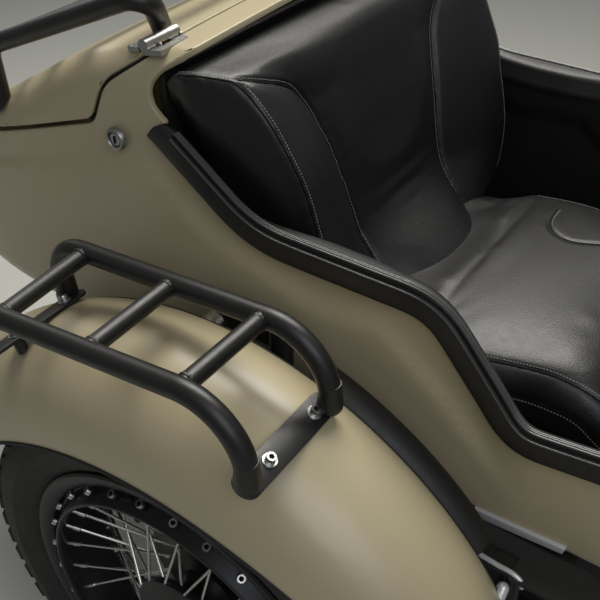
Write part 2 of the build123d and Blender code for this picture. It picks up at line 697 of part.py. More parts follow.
def guard_outline():
    """The mudguard's section: crown, shoulder and outer skirt, one skin thick."""
    with BuildSketch() as outline:
        with BuildLine():
            ThreePointArc((GUARD_TOP_R, GUARD_INNER_Y), (452, -855), (428, -918))
            ThreePointArc((428, -918), (392, -946), (GUARD_SKIRT_R, GUARD_OUTER_Y))
            Line((GUARD_SKIRT_R, GUARD_OUTER_Y), (GUARD_SKIRT_R, GUARD_OUTER_Y + GUARD_SKIN))
            ThreePointArc((GUARD_SKIRT_R, GUARD_OUTER_Y + GUARD_SKIN), (390.5, -943.5), (426, -915.7))
            ThreePointArc((426, -915.7), (449, -855), (GUARD_TOP_R - GUARD_SKIN, GUARD_INNER_Y))
            Line((GUARD_TOP_R - GUARD_SKIN, GUARD_INNER_Y), (GUARD_TOP_R, GUARD_INNER_Y))
        make_face()
    return outline.sketch


guard_shell = lathe_arc(guard_outline(), GUARD_ANGLES)
skirt_arc = rod((SKIRT_ARC_CENTRE[0], GUARD_OUTER_Y - 20, SKIRT_ARC_CENTRE[1]),
                (SKIRT_ARC_CENTRE[0], GUARD_OUTER_Y + 60, SKIRT_ARC_CENTRE[1]), SKIRT_ARC_R)
skirt_limit = rod((AXLE_X, GUARD_OUTER_Y - 20, AXLE_Z), (AXLE_X, GUARD_OUTER_Y + 60, AXLE_Z), SKIRT_MAX_R)
with BuildPart() as skirt_cut:
    add(skirt_arc)
    add(skirt_limit, mode=Mode.INTERSECT)
with BuildPart() as mudguard:
    add(guard_shell)
    add(skirt_cut.part, mode=Mode.SUBTRACT)
keep(mudguard.part, "mudguard")

# Inner liner between the mudguard and the tub, with a soft ridge along it
LINER_ANGLES = (28.0, 74.0)
LINER_EDGE_Y = -742.0
with BuildSketch() as liner_outline:
    with BuildLine():
        ThreePointArc((430.5, GUARD_INNER_Y), (437, -764), (428, LINER_EDGE_Y))
        Line((428, LINER_EDGE_Y), (425.5, LINER_EDGE_Y))
        ThreePointArc((425.5, LINER_EDGE_Y), (434.5, -764), (428, GUARD_INNER_Y))
        Line((428, GUARD_INNER_Y), (430.5, GUARD_INNER_Y))
    make_face()
with BuildPart() as inner_liner:
    add(lathe_arc(liner_outline.sketch, LINER_ANGLES))
keep(inner_liner.part, "inner_liner")

# Stays that carry the mudguard and the liner, from the chassis up under the inner edge
# Columns: name, x at the rail, angle of the top about the axle
STAY_Y = -769.0
STAY_R = 8.0
STAY_TOP_R = 424.0
GUARD_STAYS = [("guard_stay_front", 560.0, 23.0), ("guard_stay_rear", -250.0, 150.0)]
for name, x, angle in GUARD_STAYS:
    top_x = AXLE_X + STAY_TOP_R * cos(radians(angle))
    top_z = AXLE_Z + STAY_TOP_R * sin(radians(angle))
    bar = bent_tube([(x, RIGHT_RAIL_Y, 0), (x, STAY_Y, 0), (top_x, STAY_Y, top_z)], [40], STAY_R)
    with BuildSketch() as tab_outline:
        with Locations((427, -772)):
            Rectangle(8, 24)
    tab = lathe_arc(tab_outline.sketch, (angle - 1.5, angle + 1.5))
    with BuildPart() as guard_stay:
        add(bar)
        add(tab)
        add(mudguard.part, mode=Mode.SUBTRACT)
        add(rails["right"], mode=Mode.SUBTRACT)
    keep(guard_stay.part, name)

# Rack on the mudguard: rail as (y, rear foot, rear corner, front corner, front foot)
RACK_RAIL_R = 12.0
RACK_RUNG_R = 10.0
RACK_RAILS = [
    (-927, (-84, 436), (-98, 515), (256, 555), (268, 443)),
    (-813, (-80, 440), (-96, 517), (279, 558), (288, 464)),
]
RACK_RUNGS = [(-45, 520), (87, 535), (207, 549)]
rack_rails = [
    bent_tube([(x, y, z) for x, z in corners], [34, 42], RACK_RAIL_R) for y, *corners in RACK_RAILS
]
rack_rungs = [
    rod((x, RACK_RAILS[0][0], z), (x, RACK_RAILS[1][0], z), RACK_RUNG_R) for x, z in RACK_RUNGS
]
with BuildPart() as guard_block:
    with BuildSketch(lathe_plane):
        with BuildLine():
            ThreePointArc((GUARD_TOP_R, GUARD_INNER_Y), (452, -855), (428, -918))
            ThreePointArc((428, -918), (392, -946), (GUARD_SKIRT_R, GUARD_OUTER_Y))
            Polyline((GUARD_SKIRT_R, GUARD_OUTER_Y), (GUARD_SKIRT_R, GUARD_INNER_Y), (GUARD_TOP_R, GUARD_INNER_Y))
        make_face()
    revolve(axis=lathe_axis)
with BuildPart() as mudguard_rack:
    for solid in rack_rails + rack_rungs:
        add(solid)
    add(guard_block.part, mode=Mode.SUBTRACT)
keep(mudguard_rack.part, "mudguard_rack")

# Foot plates of the rack, shaped to the mudguard's crown
PLATE_THICK = 4.0


def crown_plate(y_low, y_high, angles):
    """A strip lying on the mudguard's crown between two Y values and two angles."""
    with BuildSketch() as outline:
        with BuildLine():
            ThreePointArc((GUARD_TOP_R + PLATE_THICK, GUARD_INNER_Y), (452 + PLATE_THICK, -855),
                          (428 + PLATE_THICK, -918))
            Line((428 + PLATE_THICK, -918), (428, -918))
            ThreePointArc((428, -918), (452, -855), (GUARD_TOP_R, GUARD_INNER_Y))
            Line((GUARD_TOP_R, GUARD_INNER_Y), (GUARD_TOP_R + PLATE_THICK, GUARD_INNER_Y))
        make_face()
        with Locations((440, (y_low + y_high) / 2)):
            Rectangle(80, y_high - y_low, mode=Mode.INTERSECT)
    return lathe_arc(outline.sketch, angles)


rack_plates = [
    crown_plate(-916, -802, (67.0, 72.5)),
    crown_plate(-916, -802, (112.0, 117.5)),
]
with BuildPart() as rack_plates_node:
    for solid in rack_plates:
        add(solid)
    add(mudguard_rack.part, mode=Mode.SUBTRACT)
keep(rack_plates_node.part, "rack_plates")

# Rack on the trunk lid: side rails as (x, z, distance in from the side), cross bars and four legs
LID_RACK_R = 12.0
LID_RACK_HALF = 272.0
LID_RACK_RAIL = [(-308, 560, 0), (-314, 661, 0), (-30, 784, 0), (-82, 690, 81)]
LID_RACK_BENDS = [28, 20]
LID_RACK_BAR_X = (-288, -218, -148, -82)
(rear_x, rear_z, _), (front_x, front_z, _) = LID_RACK_RAIL[1:3]
lid_rack_pieces = []
for side in (-1, 1):
    corners = [(x, TUB_Y + side * (LID_RACK_HALF - inward), z) for x, z, inward in LID_RACK_RAIL]
    lid_rack_pieces.append(bent_tube(corners, LID_RACK_BENDS, LID_RACK_R))
for x in LID_RACK_BAR_X:
    z = rear_z + (front_z - rear_z) * (x - rear_x) / (front_x - rear_x)
    lid_rack_pieces.append(
        rod((x, TUB_Y - LID_RACK_HALF, z), (x, TUB_Y + LID_RACK_HALF, z), LID_RACK_R - 1))
with BuildPart() as lid_rack:
    for solid in lid_rack_pieces:
        add(solid)
    add(outer_form, mode=Mode.SUBTRACT)
    add(hinge_lid_leaves.part, mode=Mode.SUBTRACT)
keep(lid_rack.part, "lid_rack")

# Step between the mudguard and the tub, wider ahead of the liner
STEP_Z = 284.0
STEP_THICK = 5.0
with BuildPart() as step_plate:
    with Locations((545, -741, STEP_Z)):
        Box(114, 54, STEP_THICK)
    with Locations((450, -726, STEP_Z)):
        Box(82, 24, STEP_THICK)
keep(step_plate.part, "step_plate")
step_bar = bent_tube([(484, RIGHT_RAIL_Y, 0), (484, -725, 0), (484, -725, STEP_Z - STEP_THICK / 2)], [30], 10)
with BuildPart() as step_bracket:
    add(step_bar)
    add(rails["right"], mode=Mode.SUBTRACT)
    add(pivot_outrigger.part, mode=Mode.SUBTRACT)
keep(step_bracket.part, "step_bracket")

# Tail lamp on the rear of the mudguard
LAMP_ANGLE = radians(158)
LAMP_BASE_R = 440.0
LAMP_R = 32.0
LAMP_DEPTH = 32.0
LENS_R = 30.0
LENS_DEPTH = 12.0
lamp_out = Vector(cos(LAMP_ANGLE), 0, sin(LAMP_ANGLE))
lamp_base = Vector(AXLE_X, WHEEL_Y - 2, AXLE_Z) + lamp_out * LAMP_BASE_R
with BuildPart() as tail_lamp_housing:
    with BuildSketch(Plane(origin=lamp_base, z_dir=lamp_out)):
        Circle(LAMP_R)
    extrude(amount=LAMP_DEPTH)
    add(guard_block.part, mode=Mode.SUBTRACT)
keep(tail_lamp_housing.part, "tail_lamp_housing")
with BuildPart() as tail_lamp_lens:
    with BuildSketch(Plane(origin=lamp_base + lamp_out * LAMP_DEPTH, z_dir=lamp_out)):
        Circle(LENS_R)
    extrude(amount=LENS_DEPTH)
keep(tail_lamp_lens.part, "tail_lamp_lens")

# Attachments: two lower arms with eyes along X and two upper struts with eyes along X
# Columns: name, start on the left rail, eye centre
ATTACHMENTS = [
    ("lower_rear_arm", (0, LEFT_RAIL_Y, 0), (0, 0, 0)),
    ("lower_front_arm", (640, LEFT_RAIL_Y, 0), (640, 20, 0)),
    ("upper_rear_strut", (-60, LEFT_RAIL_Y + 18, 0), (-40, 30, 360)),
    ("upper_front_strut", (700, LEFT_RAIL_Y + 18, 0), (680, 50, 400)),
]
for name, start, eye in ATTACHMENTS:
    bar = rod(start, eye, ARM_R)
    ring = rod((eye[0] - EYE_LENGTH / 2, eye[1], eye[2]), (eye[0] + EYE_LENGTH / 2, eye[1], eye[2]), EYE_R)
    hole = rod((eye[0] - EYE_LENGTH, eye[1], eye[2]), (eye[0] + EYE_LENGTH, eye[1], eye[2]), EYE_BORE_R)
    with BuildPart() as attachment:
        add(bar)
        add(ring)
        add(hole, mode=Mode.SUBTRACT)
        add(rails["left"], mode=Mode.SUBTRACT)
    keep(attachment.part, name)

print(len(parts), "nodes")
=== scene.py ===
"""Dresses the passenger sidecar: paint, leather, rubber and steel, with stitching and fittings.

Sizes are in millimetres and become metres where a mesh is made.
"""
from functools import partial
from math import acos, asin, atan2, cos, exp, hypot, pi, radians, sin, sqrt

import bmesh
import bpy
import numpy as np
from mathutils import Matrix, Vector
from mathutils.bvhtree import BVHTree
from mathutils.kdtree import KDTree


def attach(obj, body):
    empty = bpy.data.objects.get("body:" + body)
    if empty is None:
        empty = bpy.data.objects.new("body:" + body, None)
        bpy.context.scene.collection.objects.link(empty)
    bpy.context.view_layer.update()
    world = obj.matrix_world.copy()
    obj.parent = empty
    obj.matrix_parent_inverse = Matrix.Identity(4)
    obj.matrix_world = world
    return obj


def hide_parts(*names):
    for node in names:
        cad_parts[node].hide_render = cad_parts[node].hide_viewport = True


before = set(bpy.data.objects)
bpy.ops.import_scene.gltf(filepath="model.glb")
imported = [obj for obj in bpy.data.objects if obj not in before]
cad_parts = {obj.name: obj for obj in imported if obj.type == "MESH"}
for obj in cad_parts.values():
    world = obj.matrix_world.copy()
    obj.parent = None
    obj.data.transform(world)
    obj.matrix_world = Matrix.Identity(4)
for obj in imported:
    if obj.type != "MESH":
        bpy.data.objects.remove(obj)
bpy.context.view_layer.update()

bl_info = {
    "name": "Passenger sidecar",
    "version": (1, 0, 0),
    "blender": (4, 5, 0),
    "location": "3D View > Sidebar > Sidecar",
    "description": "Builds the look of a passenger sidecar round its packed frame",
    "category": "Object",
}

MM = 0.001

# Wheel
AXLE = (120.0, -860.0, 40.0)
TYRE_R = 345.0
HEAD_RING_R = 220.5
HEAD_RING_Y = 39.0
SPOKES_PER_SIDE = 28
FIRST_HEAD = radians(202)
HUB_FLANGE_R = 74.0
HUB_FLANGE_Y = 31.0
SPOKE_LEAN = radians(15)
SPOKE_STAGGER = 4.0

# Tub
TUB_Y = -410.0
TUB_WALL = 8.0
LID_SKIN = 5.0
SEAM_GAP = 6.0
FLOOR_Z = -298.0

# Tub sections along X: half width, top, bottom, shoulder radius, lower radius
TUB_SECTIONS = [
    (-632, 120, 398, 312, 26, 26),
    (-600, 172, 424, 302, 42, 34),
    (-520, 235, 476, 292, 55, 36),
    (-400, 280, 546, 290, 60, 40),
    (-280, 298, 614, 290, 58, 40),
    (-140, 300, 690, 290, 50, 40),
    (-20, 300, 722, 290, 42, 22),
    (400, 300, 735, 290, 60, 12),
    (840, 276, 610, 290, 80, 16),
    (1060, 218, 505, 292, 80, 50),
    (1210, 158, 425, 304, 50, 44),
    (1290, 96, 394, 312, 24, 24),
]
# Cockpit side line and lid seam as (x, z) corners with their bend radii
RIM_CORNERS = [(-22, 634), (112, 535), (338, 534), (440, 410), (770, 450), (850, 594)]
RIM_BENDS = [150, 44, 62, 150]
# Rear edge of the cockpit, from the top down to the roll's end, as (x, z)
REAR_EDGE = [
    (23, 752), (22, 734), (12.7, 724.5), (-1.5, 714.5), (-14, 704), (-20.5, 694), (-23.5, 682),
    (-23, 671.5), (-19.5, 663.5), (-13, 657), (-4, 649), (-9, 643),
]
LID_SEAM = [(-34, 722.5), (-97, 677), (-122, 622.5), (-700, 417)]
LID_SEAM_BENDS = [60, 28]
# Pressed line along the tub's side, as (x, z); the sheet above it lies a little deeper
SWAGE_LINE = [
    (-520, 432), (-307, 506), (-35, 592), (42, 530), (182, 489), (292, 491), (354, 443), (421, 377),
    (470, 330),
]
# Between these places in X it starts and fades out
SWAGE_START, SWAGE_FADE = (-600, -480), (400, 470)


def linear(code):
    """An sRGB hex colour as linear RGBA."""
    channels = [int(code[k:k + 2], 16) / 255 for k in (1, 3, 5)]
    return [c / 12.92 if c <= 0.04045 else ((c + 0.055) / 1.055) ** 2.4 for c in channels] + [1.0]


def add_node(tree, kind, inputs=None, **settings):
    """Adds a node to a tree, sets its properties and sets or links its inputs."""
    node = tree.nodes.new(kind)
    for name, value in settings.items():
        setattr(node, name, value)
    for key, value in (inputs or {}).items():
        if isinstance(value, bpy.types.NodeSocket):
            tree.links.new(value, node.inputs[key])
        else:
            node.inputs[key].default_value = value
    return node


def new_finish(name, colour, roughness, **sockets):
    """A material with its Principled shader; returns the material, its tree, shader and place vector."""
    material = bpy.data.materials.new(name)
    material.use_nodes = True
    tree = material.node_tree
    shader = tree.nodes["Principled BSDF"]
    shader.inputs["Base Color"].default_value = linear(colour)
    shader.inputs["Roughness"].default_value = roughness
    for key, value in sockets.items():
        shader.inputs[key.replace("_", " ")].default_value = value
    place = add_node(tree, "ShaderNodeTexCoord").outputs["Object"]
    return material, tree, shader, place


def vary_colour(tree, shader, fac, dark, light):
    """Colours the shader between two hex colours by a factor."""
    ends = {"Factor": fac, 6: linear(dark), 7: linear(light)}
    mix = add_node(tree, "ShaderNodeMix", ends, data_type="RGBA")
    tree.links.new(mix.outputs[2], shader.inputs["Base Color"])


def vary_roughness(tree, shader, fac, low, high):
    """Spreads the roughness between two values by a factor."""
    span = add_node(tree, "ShaderNodeMapRange", {"Value": fac, "To Min": low, "To Max": high})
    tree.links.new(span.outputs["Result"], shader.inputs["Roughness"])


def add_bump(tree, shader, height, depth_mm, strength=1.0, below=None):
    """Adds a bump of a real depth in millimetres, on top of another if one is given."""
    inputs = {"Height": height, "Distance": depth_mm * MM, "Strength": strength}
    if below:
        inputs["Normal"] = below.outputs["Normal"]
    bump = add_node(tree, "ShaderNodeBump", inputs)
    tree.links.new(bump.outputs["Normal"], shader.inputs["Normal"])
    return bump


def noise_at(tree, place, size_mm, detail=3.0, roughness=0.5):
    """Noise whose blobs measure about a given size."""
    return add_node(tree, "ShaderNodeTexNoise", {
        "Vector": place, "Scale": 1 / (size_mm * MM), "Detail": detail, "Roughness": roughness,
    }).outputs["Fac"]


def cells_at(tree, place, size_mm, feature="F1", smoothness=None):
    """Voronoi cells whose pitch is about a given size."""
    inputs = {"Vector": place, "Scale": 1 / (size_mm * MM)}
    if smoothness is not None:
        inputs["Smoothness"] = smoothness
    return add_node(tree, "ShaderNodeTexVoronoi", inputs, feature=feature).outputs["Distance"]


def coat(name, colour, roughness, tint=None, gloss=None, bump=None, **sockets):
    """A finish from noise.

    tint and gloss are (size in mm, detail, low, high) and bump is (size in mm, detail, depth in mm).
    """
    material, tree, shader, place = new_finish(name, colour, roughness, **sockets)
    if tint:
        vary_colour(tree, shader, noise_at(tree, place, *tint[:2]), *tint[2:])
    if gloss:
        vary_roughness(tree, shader, noise_at(tree, place, *gloss[:2]), *gloss[2:])
    if bump:
        add_bump(tree, shader, noise_at(tree, place, *bump[:2]), bump[2])
    return material


def sand_paint():
    """Satin baked enamel over pressed steel: even, with faint orange peel and a soft sheen."""
    tub = bpy.context.scene.sidecar_tub
    # Orange peel of about 1 mm, drawn at 3 mm so that it shows
    return coat("sand_baked_enamel", "#9C9070", 0.42, (260, 2, tub.paint_dark, tub.paint),
                (90, 3, 0.29, 0.37), (3, 2, 0.012), IOR=1.5)


def grain_leather(name, dark, light, grain_mm, depth, rough):
    """Finished cowhide: closed pebble grain with fine creases and a worn satin sheen."""
    material, tree, shader, place = new_finish(name, dark, rough[0], IOR=1.5, Specular_IOR_Level=0.5)
    warp = add_node(tree, "ShaderNodeTexNoise", {"Vector": place, "Scale": 1 / (18 * MM), "Detail": 2.0})
    moved = add_node(tree, "ShaderNodeMix", {"Factor": 0.004, 4: place, 5: warp.outputs["Color"]},
                     data_type="VECTOR")
    pebbles = cells_at(tree, moved.outputs[1], grain_mm, "SMOOTH_F1", 0.35)
    creases = noise_at(tree, place, 14, 5, 0.62)
    vary_colour(tree, shader, noise_at(tree, place, 70, 4), dark, light)
    vary_roughness(tree, shader, creases, *rough)
    grain = add_bump(tree, shader, pebbles, -depth)
    add_bump(tree, shader, creases, 0.25, 0.5, grain)
    return material


def black_leather():
    """Black cowhide of the seat."""
    seat = bpy.context.scene.sidecar_seat
    # Grain of about 1.2 mm, drawn at 2.2 mm so that it shows
    return grain_leather("black_grain_leather", seat.leather_dark, seat.leather, 2.2, 0.14, (0.37, 0.5))


def thread_finish():
    """Bonded polyester thread: light grey, twisted, a little fuzzy."""
    return coat("grey_bonded_thread", bpy.context.scene.sidecar_seat.thread, 0.6, bump=(0.8, 2, 0.15),
                Sheen_Weight=0.3)


def disc_steel():
    """Ground brake steel: rings of fine grinding marks round the axle."""
    material, tree, shader, place = new_finish("ground_brake_steel", "#A9A9A7", 0.3, Metallic=1.0)
    centred = add_node(tree, "ShaderNodeMapping", {"Vector": place, "Location": [-c * MM for c in AXLE]})
    rings = add_node(tree, "ShaderNodeTexWave",
                     {"Vector": centred.outputs["Vector"], "Scale": 160.0, "Distortion": 0.6},
                     wave_type="RINGS", rings_direction="Y").outputs["Fac"]
    vary_roughness(tree, shader, rings, 0.22, 0.4)
    add_bump(tree, shader, rings, 0.03)
    return material


def moulded_plastic():
    """Moulded polypropylene: black, leathery grain, dull."""
    material, tree, shader, place = new_finish("moulded_polypropylene", "#141413", 0.55)
    vary_colour(tree, shader, noise_at(tree, place, 60, 4), "#10100F", "#1D1C1A")
    vary_roughness(tree, shader, noise_at(tree, place, 20, 4), 0.46, 0.62)
    add_bump(tree, shader, cells_at(tree, place, 2.4, "SMOOTH_F1", 0.5), -0.12)
    return material


def brushed_aluminium():
    """Extruded aluminium trim, brushed along its length."""
    material, tree, shader, place = new_finish("brushed_aluminium", "#D6D7D6", 0.42, Metallic=0.45)
    drawn = add_node(tree, "ShaderNodeMapping", {"Vector": place, "Scale": (0.02, 1.0, 1.0)})
    streaks = noise_at(tree, drawn.outputs["Vector"], 0.9, 3)
    vary_roughness(tree, shader, streaks, 0.26, 0.44)
    add_bump(tree, shader, streaks, 0.03)
    return material


def red_lens():
    """Moulded acrylic lens: clear red with a prismatic inside."""
    material, tree, shader, place = new_finish("red_moulded_acrylic", "#8E0A0C", 0.12, IOR=1.49,
                                               Transmission_Weight=0.35)
    prisms = cells_at(tree, place, 6)
    vary_colour(tree, shader, prisms, "#7A0608", "#B01417")
    add_bump(tree, shader, prisms, 0.4, 0.5)
    return material


# Coated vinyl over foam, on the rim roll and linings: finer grain than the leather and a little duller
black_trim = partial(grain_leather, "black_coated_vinyl", "#0B0B0B", "#171716", 1.8, 0.12, (0.42, 0.56))
# Coated vinyl over a cord, black in itself, painted pale grey as a highlight where the welts and ribs catch
# the light
pale_welt_highlight = partial(coat, "painted_highlight_vinyl", "#4A4A48", 0.3, (30, 3, "#3E3E3C", "#545452"),
                     (12, 3, 0.24, 0.38), (2.2, 3, 0.04), IOR=1.5)
# Bonded polyester thread, black: a row that hardly shows
dark_thread = partial(coat, "black_bonded_thread", "#262624", 0.6, bump=(0.8, 2, 0.15), Sheen_Weight=0.3)
# Painted shade for seams, grooves, sockets and the key slot: near-black and quite dull, darker than the
# leather and vinyl round it
seam_cord = partial(coat, "painted_recess_shade", "#050505", 0.85, bump=(1.2, 2, 0.1), Specular_IOR_Level=0.2)
# Powder coat baked on steel tube: black, satin, with a fine pebbled surface
black_powder_coat = partial(coat, "black_powder_coat_steel", "#121212", 0.42, (40, 3, "#0D0D0D", "#191918"),
                            (12, 4, 0.34, 0.5), (1.6, 2, 0.05), IOR=1.5)
# Powder-coated spring steel: black gloss
sprung_steel = partial(coat, "black_sprung_steel", "#101010", 0.3, gloss=(10, 3, 0.24, 0.4))
# Vulcanised rubber: deep grey-black, dull, dusty in the grooves
tyre_rubber = partial(coat, "vulcanised_rubber", "#161616", 0.72, (55, 5, "#111111", "#232220"),
                      (25, 4, 0.6, 0.8), (1.2, 3, 0.12))
# Extruded EPDM rubber: soft black with a dry bloom
mount_rubber = partial(coat, "extruded_epdm", "#121212", 0.7, (18, 4, "#0E0E0E", "#1F1F1E"),
                       bump=(1.4, 2, 0.08))
# Moulded mat rubber: charcoal, scuffed by shoes
floor_rubber = partial(coat, "moulded_mat_rubber", "#1A1A19", 0.7, (30, 5, "#141413", "#2C2B28"),
                       bump=(2, 3, 0.15))
# Black anodised and clear-coated aluminium: smooth, satin
rim_black = partial(coat, "black_anodised_aluminium", "#1B1C1C", 0.4, None, (18, 3, 0.34, 0.44),
                    (0.9, 2, 0.02), Metallic=0.35)
# Drawn stainless wire and turned parts: bright, with fine drawing marks
stainless_steel = partial(coat, "drawn_stainless_steel", "#C9C8C4", 0.3, None, (9, 4, 0.2, 0.36),
                          (0.7, 2, 0.02), Metallic=1.0)
# Zinc-plated fastener steel: pale, slightly cloudy
zinc_steel = partial(coat, "zinc_plated_steel", "#B9BAB8", 0.34, None, (5, 4, 0.26, 0.44), (1.5, 2, 0.03),
                     Metallic=1.0)
# Polished chrome over brass: mirror bright with hairline polishing marks
chrome_plate = partial(coat, "polished_chrome", "#D5D6D8", 0.14, None, (10, 5, 0.1, 0.24), (1.5, 2, 0.015),
                       Metallic=1.0)
# Satin nickel over pressed steel: duller than chrome, softly brushed
nickel_plate = partial(coat, "satin_nickel", "#A3A2A0", 0.42, (8, 4, "#8C8B89", "#B0AFAD"),
                       (6, 4, 0.34, 0.5), (1.2, 2, 0.03), Metallic=1.0)
# Shot-blasted casting: grey, granular
cast_steel = partial(coat, "shot_blasted_casting", "#6E6E6C", 0.5, (14, 4, "#5A5A58", "#7C7C79"),
                     bump=(1.6, 3, 0.2), Metallic=0.8)

FINISHES = {}


def finish(maker):
    """The material that a maker gives, made once."""
    if maker not in FINISHES:
        FINISHES[maker] = maker()
    return FINISHES[maker]


SMOOTH_ANGLE = radians(34)


def mesh_piece(name, points, faces, maker, smooth=SMOOTH_ANGLE):
    """A new object from points in millimetres, smooth up to an angle."""
    mesh = bpy.data.meshes.new(name)
    mesh.from_pydata([tuple(MM * c for c in p) for p in points], [], faces)
    mesh.validate()
    item = bpy.data.objects.new(name, mesh)
    bpy.context.scene.collection.objects.link(item)
    if maker:
        mesh.materials.append(finish(maker))
    soften(item, smooth)
    return item


def soften(item, angle=SMOOTH_ANGLE):
    """Smooth shading with sharp edges past an angle."""
    item.data.shade_smooth()
    item.data.set_sharp_from_angle(angle=angle)


def flattened(item):
    """Applies an object's modifiers to a plain mesh of its own."""
    graph = bpy.context.evaluated_depsgraph_get()
    mesh = bpy.data.meshes.new_from_object(item.evaluated_get(graph), depsgraph=graph)
    item.modifiers.clear()
    item.data = mesh
    return item


def discard(*items):
    """Removes objects that have served."""
    for item in items:
        bpy.data.objects.remove(item, do_unlink=True)


def joined(name, items):
    """One object from several, keeping each one's materials."""
    builder = bmesh.new()
    slots = []
    for item in items:
        part = item.data.copy()
        part.transform(item.matrix_world)
        start = len(builder.faces)
        offset = {}
        for place, material in enumerate(part.materials):
            if material not in slots:
                slots.append(material)
            offset[place] = slots.index(material)
        builder.from_mesh(part)
        builder.faces.ensure_lookup_table()
        for face in builder.faces[start:]:
            face.material_index = offset.get(face.material_index, 0)
        bpy.data.meshes.remove(part)
    mesh = bpy.data.meshes.new(name)
    builder.to_mesh(mesh)
    builder.free()
    for material in slots:
        mesh.materials.append(material)
    discard(*items)
    item = bpy.data.objects.new(name, mesh)
    bpy.context.scene.collection.objects.link(item)
    return item


def grid_faces(rows, columns, round_rows=False, round_columns=False):
    """Quads over a grid of points, row by row, closed round either way if wanted."""
    faces = []
    for r in range(rows if round_rows else rows - 1):
        for c in range(columns if round_columns else columns - 1):
            r2, c2 = (r + 1) % rows, (c + 1) % columns
            faces.append((r * columns + c, r * columns + c2, r2 * columns + c2, r2 * columns + c))
    return faces


def outward(item):
    """Turns all faces outwards after merging doubles."""
    builder = bmesh.new()
    builder.from_mesh(item.data)
    bmesh.ops.remove_doubles(builder, verts=builder.verts, dist=0.00002)
    bmesh.ops.recalc_face_normals(builder, faces=builder.faces)
    builder.to_mesh(item.data)
    builder.free()
    return item


def loft(name, rings, maker, smooth=SMOOTH_ANGLE, closed=True, caps=True):
    """A skin over rings of equal count, closed round each ring, with flat ends."""
    rings = [list(ring) for ring in rings]
    count = len(rings[0])
    points = [p for ring in rings for p in ring]
    faces = grid_faces(len(rings), count, False, closed)
    if caps:
        faces.append(tuple(range(count))[::-1])
        faces.append(tuple((len(rings) - 1) * count + k for k in range(count)))
    item = mesh_piece(name, points, faces, maker, smooth)
    outward(item)
    soften(item, smooth)
    return item


def unit(rows):
    """Each row scaled to length one."""
    return rows / np.linalg.norm(rows, axis=-1, keepdims=True)


def rounded_path(corners, bends, step=6.0):
    """Points along straight runs joined by arcs of the given radii, as an array."""
    pts = [np.array(p, float) for p in corners]
    out = [pts[0]]
    for before, corner, after, radius in zip(pts, pts[1:], pts[2:], bends):
        a, b = unit(before - corner), unit(after - corner)
        half = acos(float(np.clip(a @ b, -1, 1))) / 2
        reach = radius / np.tan(half)
        centre = corner + unit(a + b) * radius / sin(half)
        start, end = corner + a * reach - centre, corner + b * reach - centre
        sweep = pi - 2 * half
        count = max(2, int(sweep * radius / step))
        for k in range(count + 1):
            t = k / count
            out.append(centre + (start * sin((1 - t) * sweep) + end * sin(t * sweep)) / sin(sweep))
    out.append(pts[-1])
    return np.array(out)


def distances(path):
    """The distance along a path to each of its points."""
    steps = np.linalg.norm(np.diff(path, axis=0), axis=1)
    return np.concatenate([[0], np.cumsum(steps)])


def evenly(path, step):
    """A path read again at even steps, with its ends kept."""
    path = np.array(path, float)
    along = distances(path)
    count = max(2, int(round(along[-1] / step)) + 1)
    at = np.linspace(0, along[-1], count)
    return np.stack([np.interp(at, along, path[:, k]) for k in range(path.shape[1])], axis=1)


def evened(line, times):
    """A line with its small wobbles averaged out, its ends kept."""
    for _ in range(times):
        line[1:-1] = (line[:-2] + 2 * line[1:-1] + line[2:]) / 4
    return line


def curve_through(points, step=6.0):
    """A smooth line through a few points, at even steps."""
    pts = np.array(points, float)
    along = distances(pts)
    table = [(s, *p) for s, p in zip(along, pts)]
    return evenly(smooth_table(table, np.linspace(0, along[-1], 40 * len(pts))), step)


def frames_along(path):
    """Tangents, sides and ups along a path, with no twist."""
    path = np.array(path, float)
    tangents = unit(np.gradient(path, axis=0))
    # Any direction that no bar here runs along
    side = np.array((0.3, 1.0, 0.2))
    sides = []
    for t in tangents:
        side = side - (side @ t) * t
        side /= np.linalg.norm(side)
        sides.append(side)
    sides = np.array(sides)
    return path, tangents, sides, np.cross(tangents, sides)


def tube(name, path, radius, maker, sides=20, round_ends=(False, False)):
    """A round bar along a path, its ends flat or domed."""
    path, tangents, across, ups = frames_along(path)
    angles = np.linspace(0, 2 * pi, sides, endpoint=False)
    rings = []

    def ring(k, shift, scale):
        centre = path[k] + tangents[k] * shift
        return [centre + scale * radius * (cos(a) * across[k] + sin(a) * ups[k]) for a in angles]

    dome = [(sin(pi / 2 * k / 6), cos(pi / 2 * k / 6)) for k in range(1, 6)]
    if round_ends[0]:
        rings += [ring(0, -radius * out, size) for out, size in reversed(dome)]
    rings += [ring(k, 0, 1) for k in range(len(path))]
    if round_ends[1]:
        rings += [ring(len(path) - 1, radius * out, size) for out, size in dome]
    return loft(name, rings, maker)


def lathe(name, profile, maker, centre=AXLE, sides=160, smooth=SMOOTH_ANGLE):
    """A closed (radius, y) outline turned about a line along Y; y is measured from the centre."""
    rings = []
    for k in range(sides):
        a = 2 * pi * k / sides
        rings.append([(centre[0] + r * cos(a), centre[1] + y, centre[2] + r * sin(a)) for r, y in profile])
    points = [p for ring in rings for p in ring]
    item = mesh_piece(name, points, grid_faces(sides, len(profile), True, True), maker, smooth)
    outward(item)
    soften(item, smooth)
    return item


def circle_through(p1, p2, p3):
    """Centre and radius of the circle through three points in a plane."""
    (ax, ay), (bx, by), (cx, cy) = p1, p2, p3
    d = 2 * (ax * (by - cy) + bx * (cy - ay) + cx * (ay - by))
    ux = ((ax**2 + ay**2) * (by - cy) + (bx**2 + by**2) * (cy - ay) + (cx**2 + cy**2) * (ay - by)) / d
    uy = ((ax**2 + ay**2) * (cx - bx) + (bx**2 + by**2) * (ax - cx) + (cx**2 + cy**2) * (bx - ax)) / d
    return ux, uy, hypot(ax - ux, ay - uy)


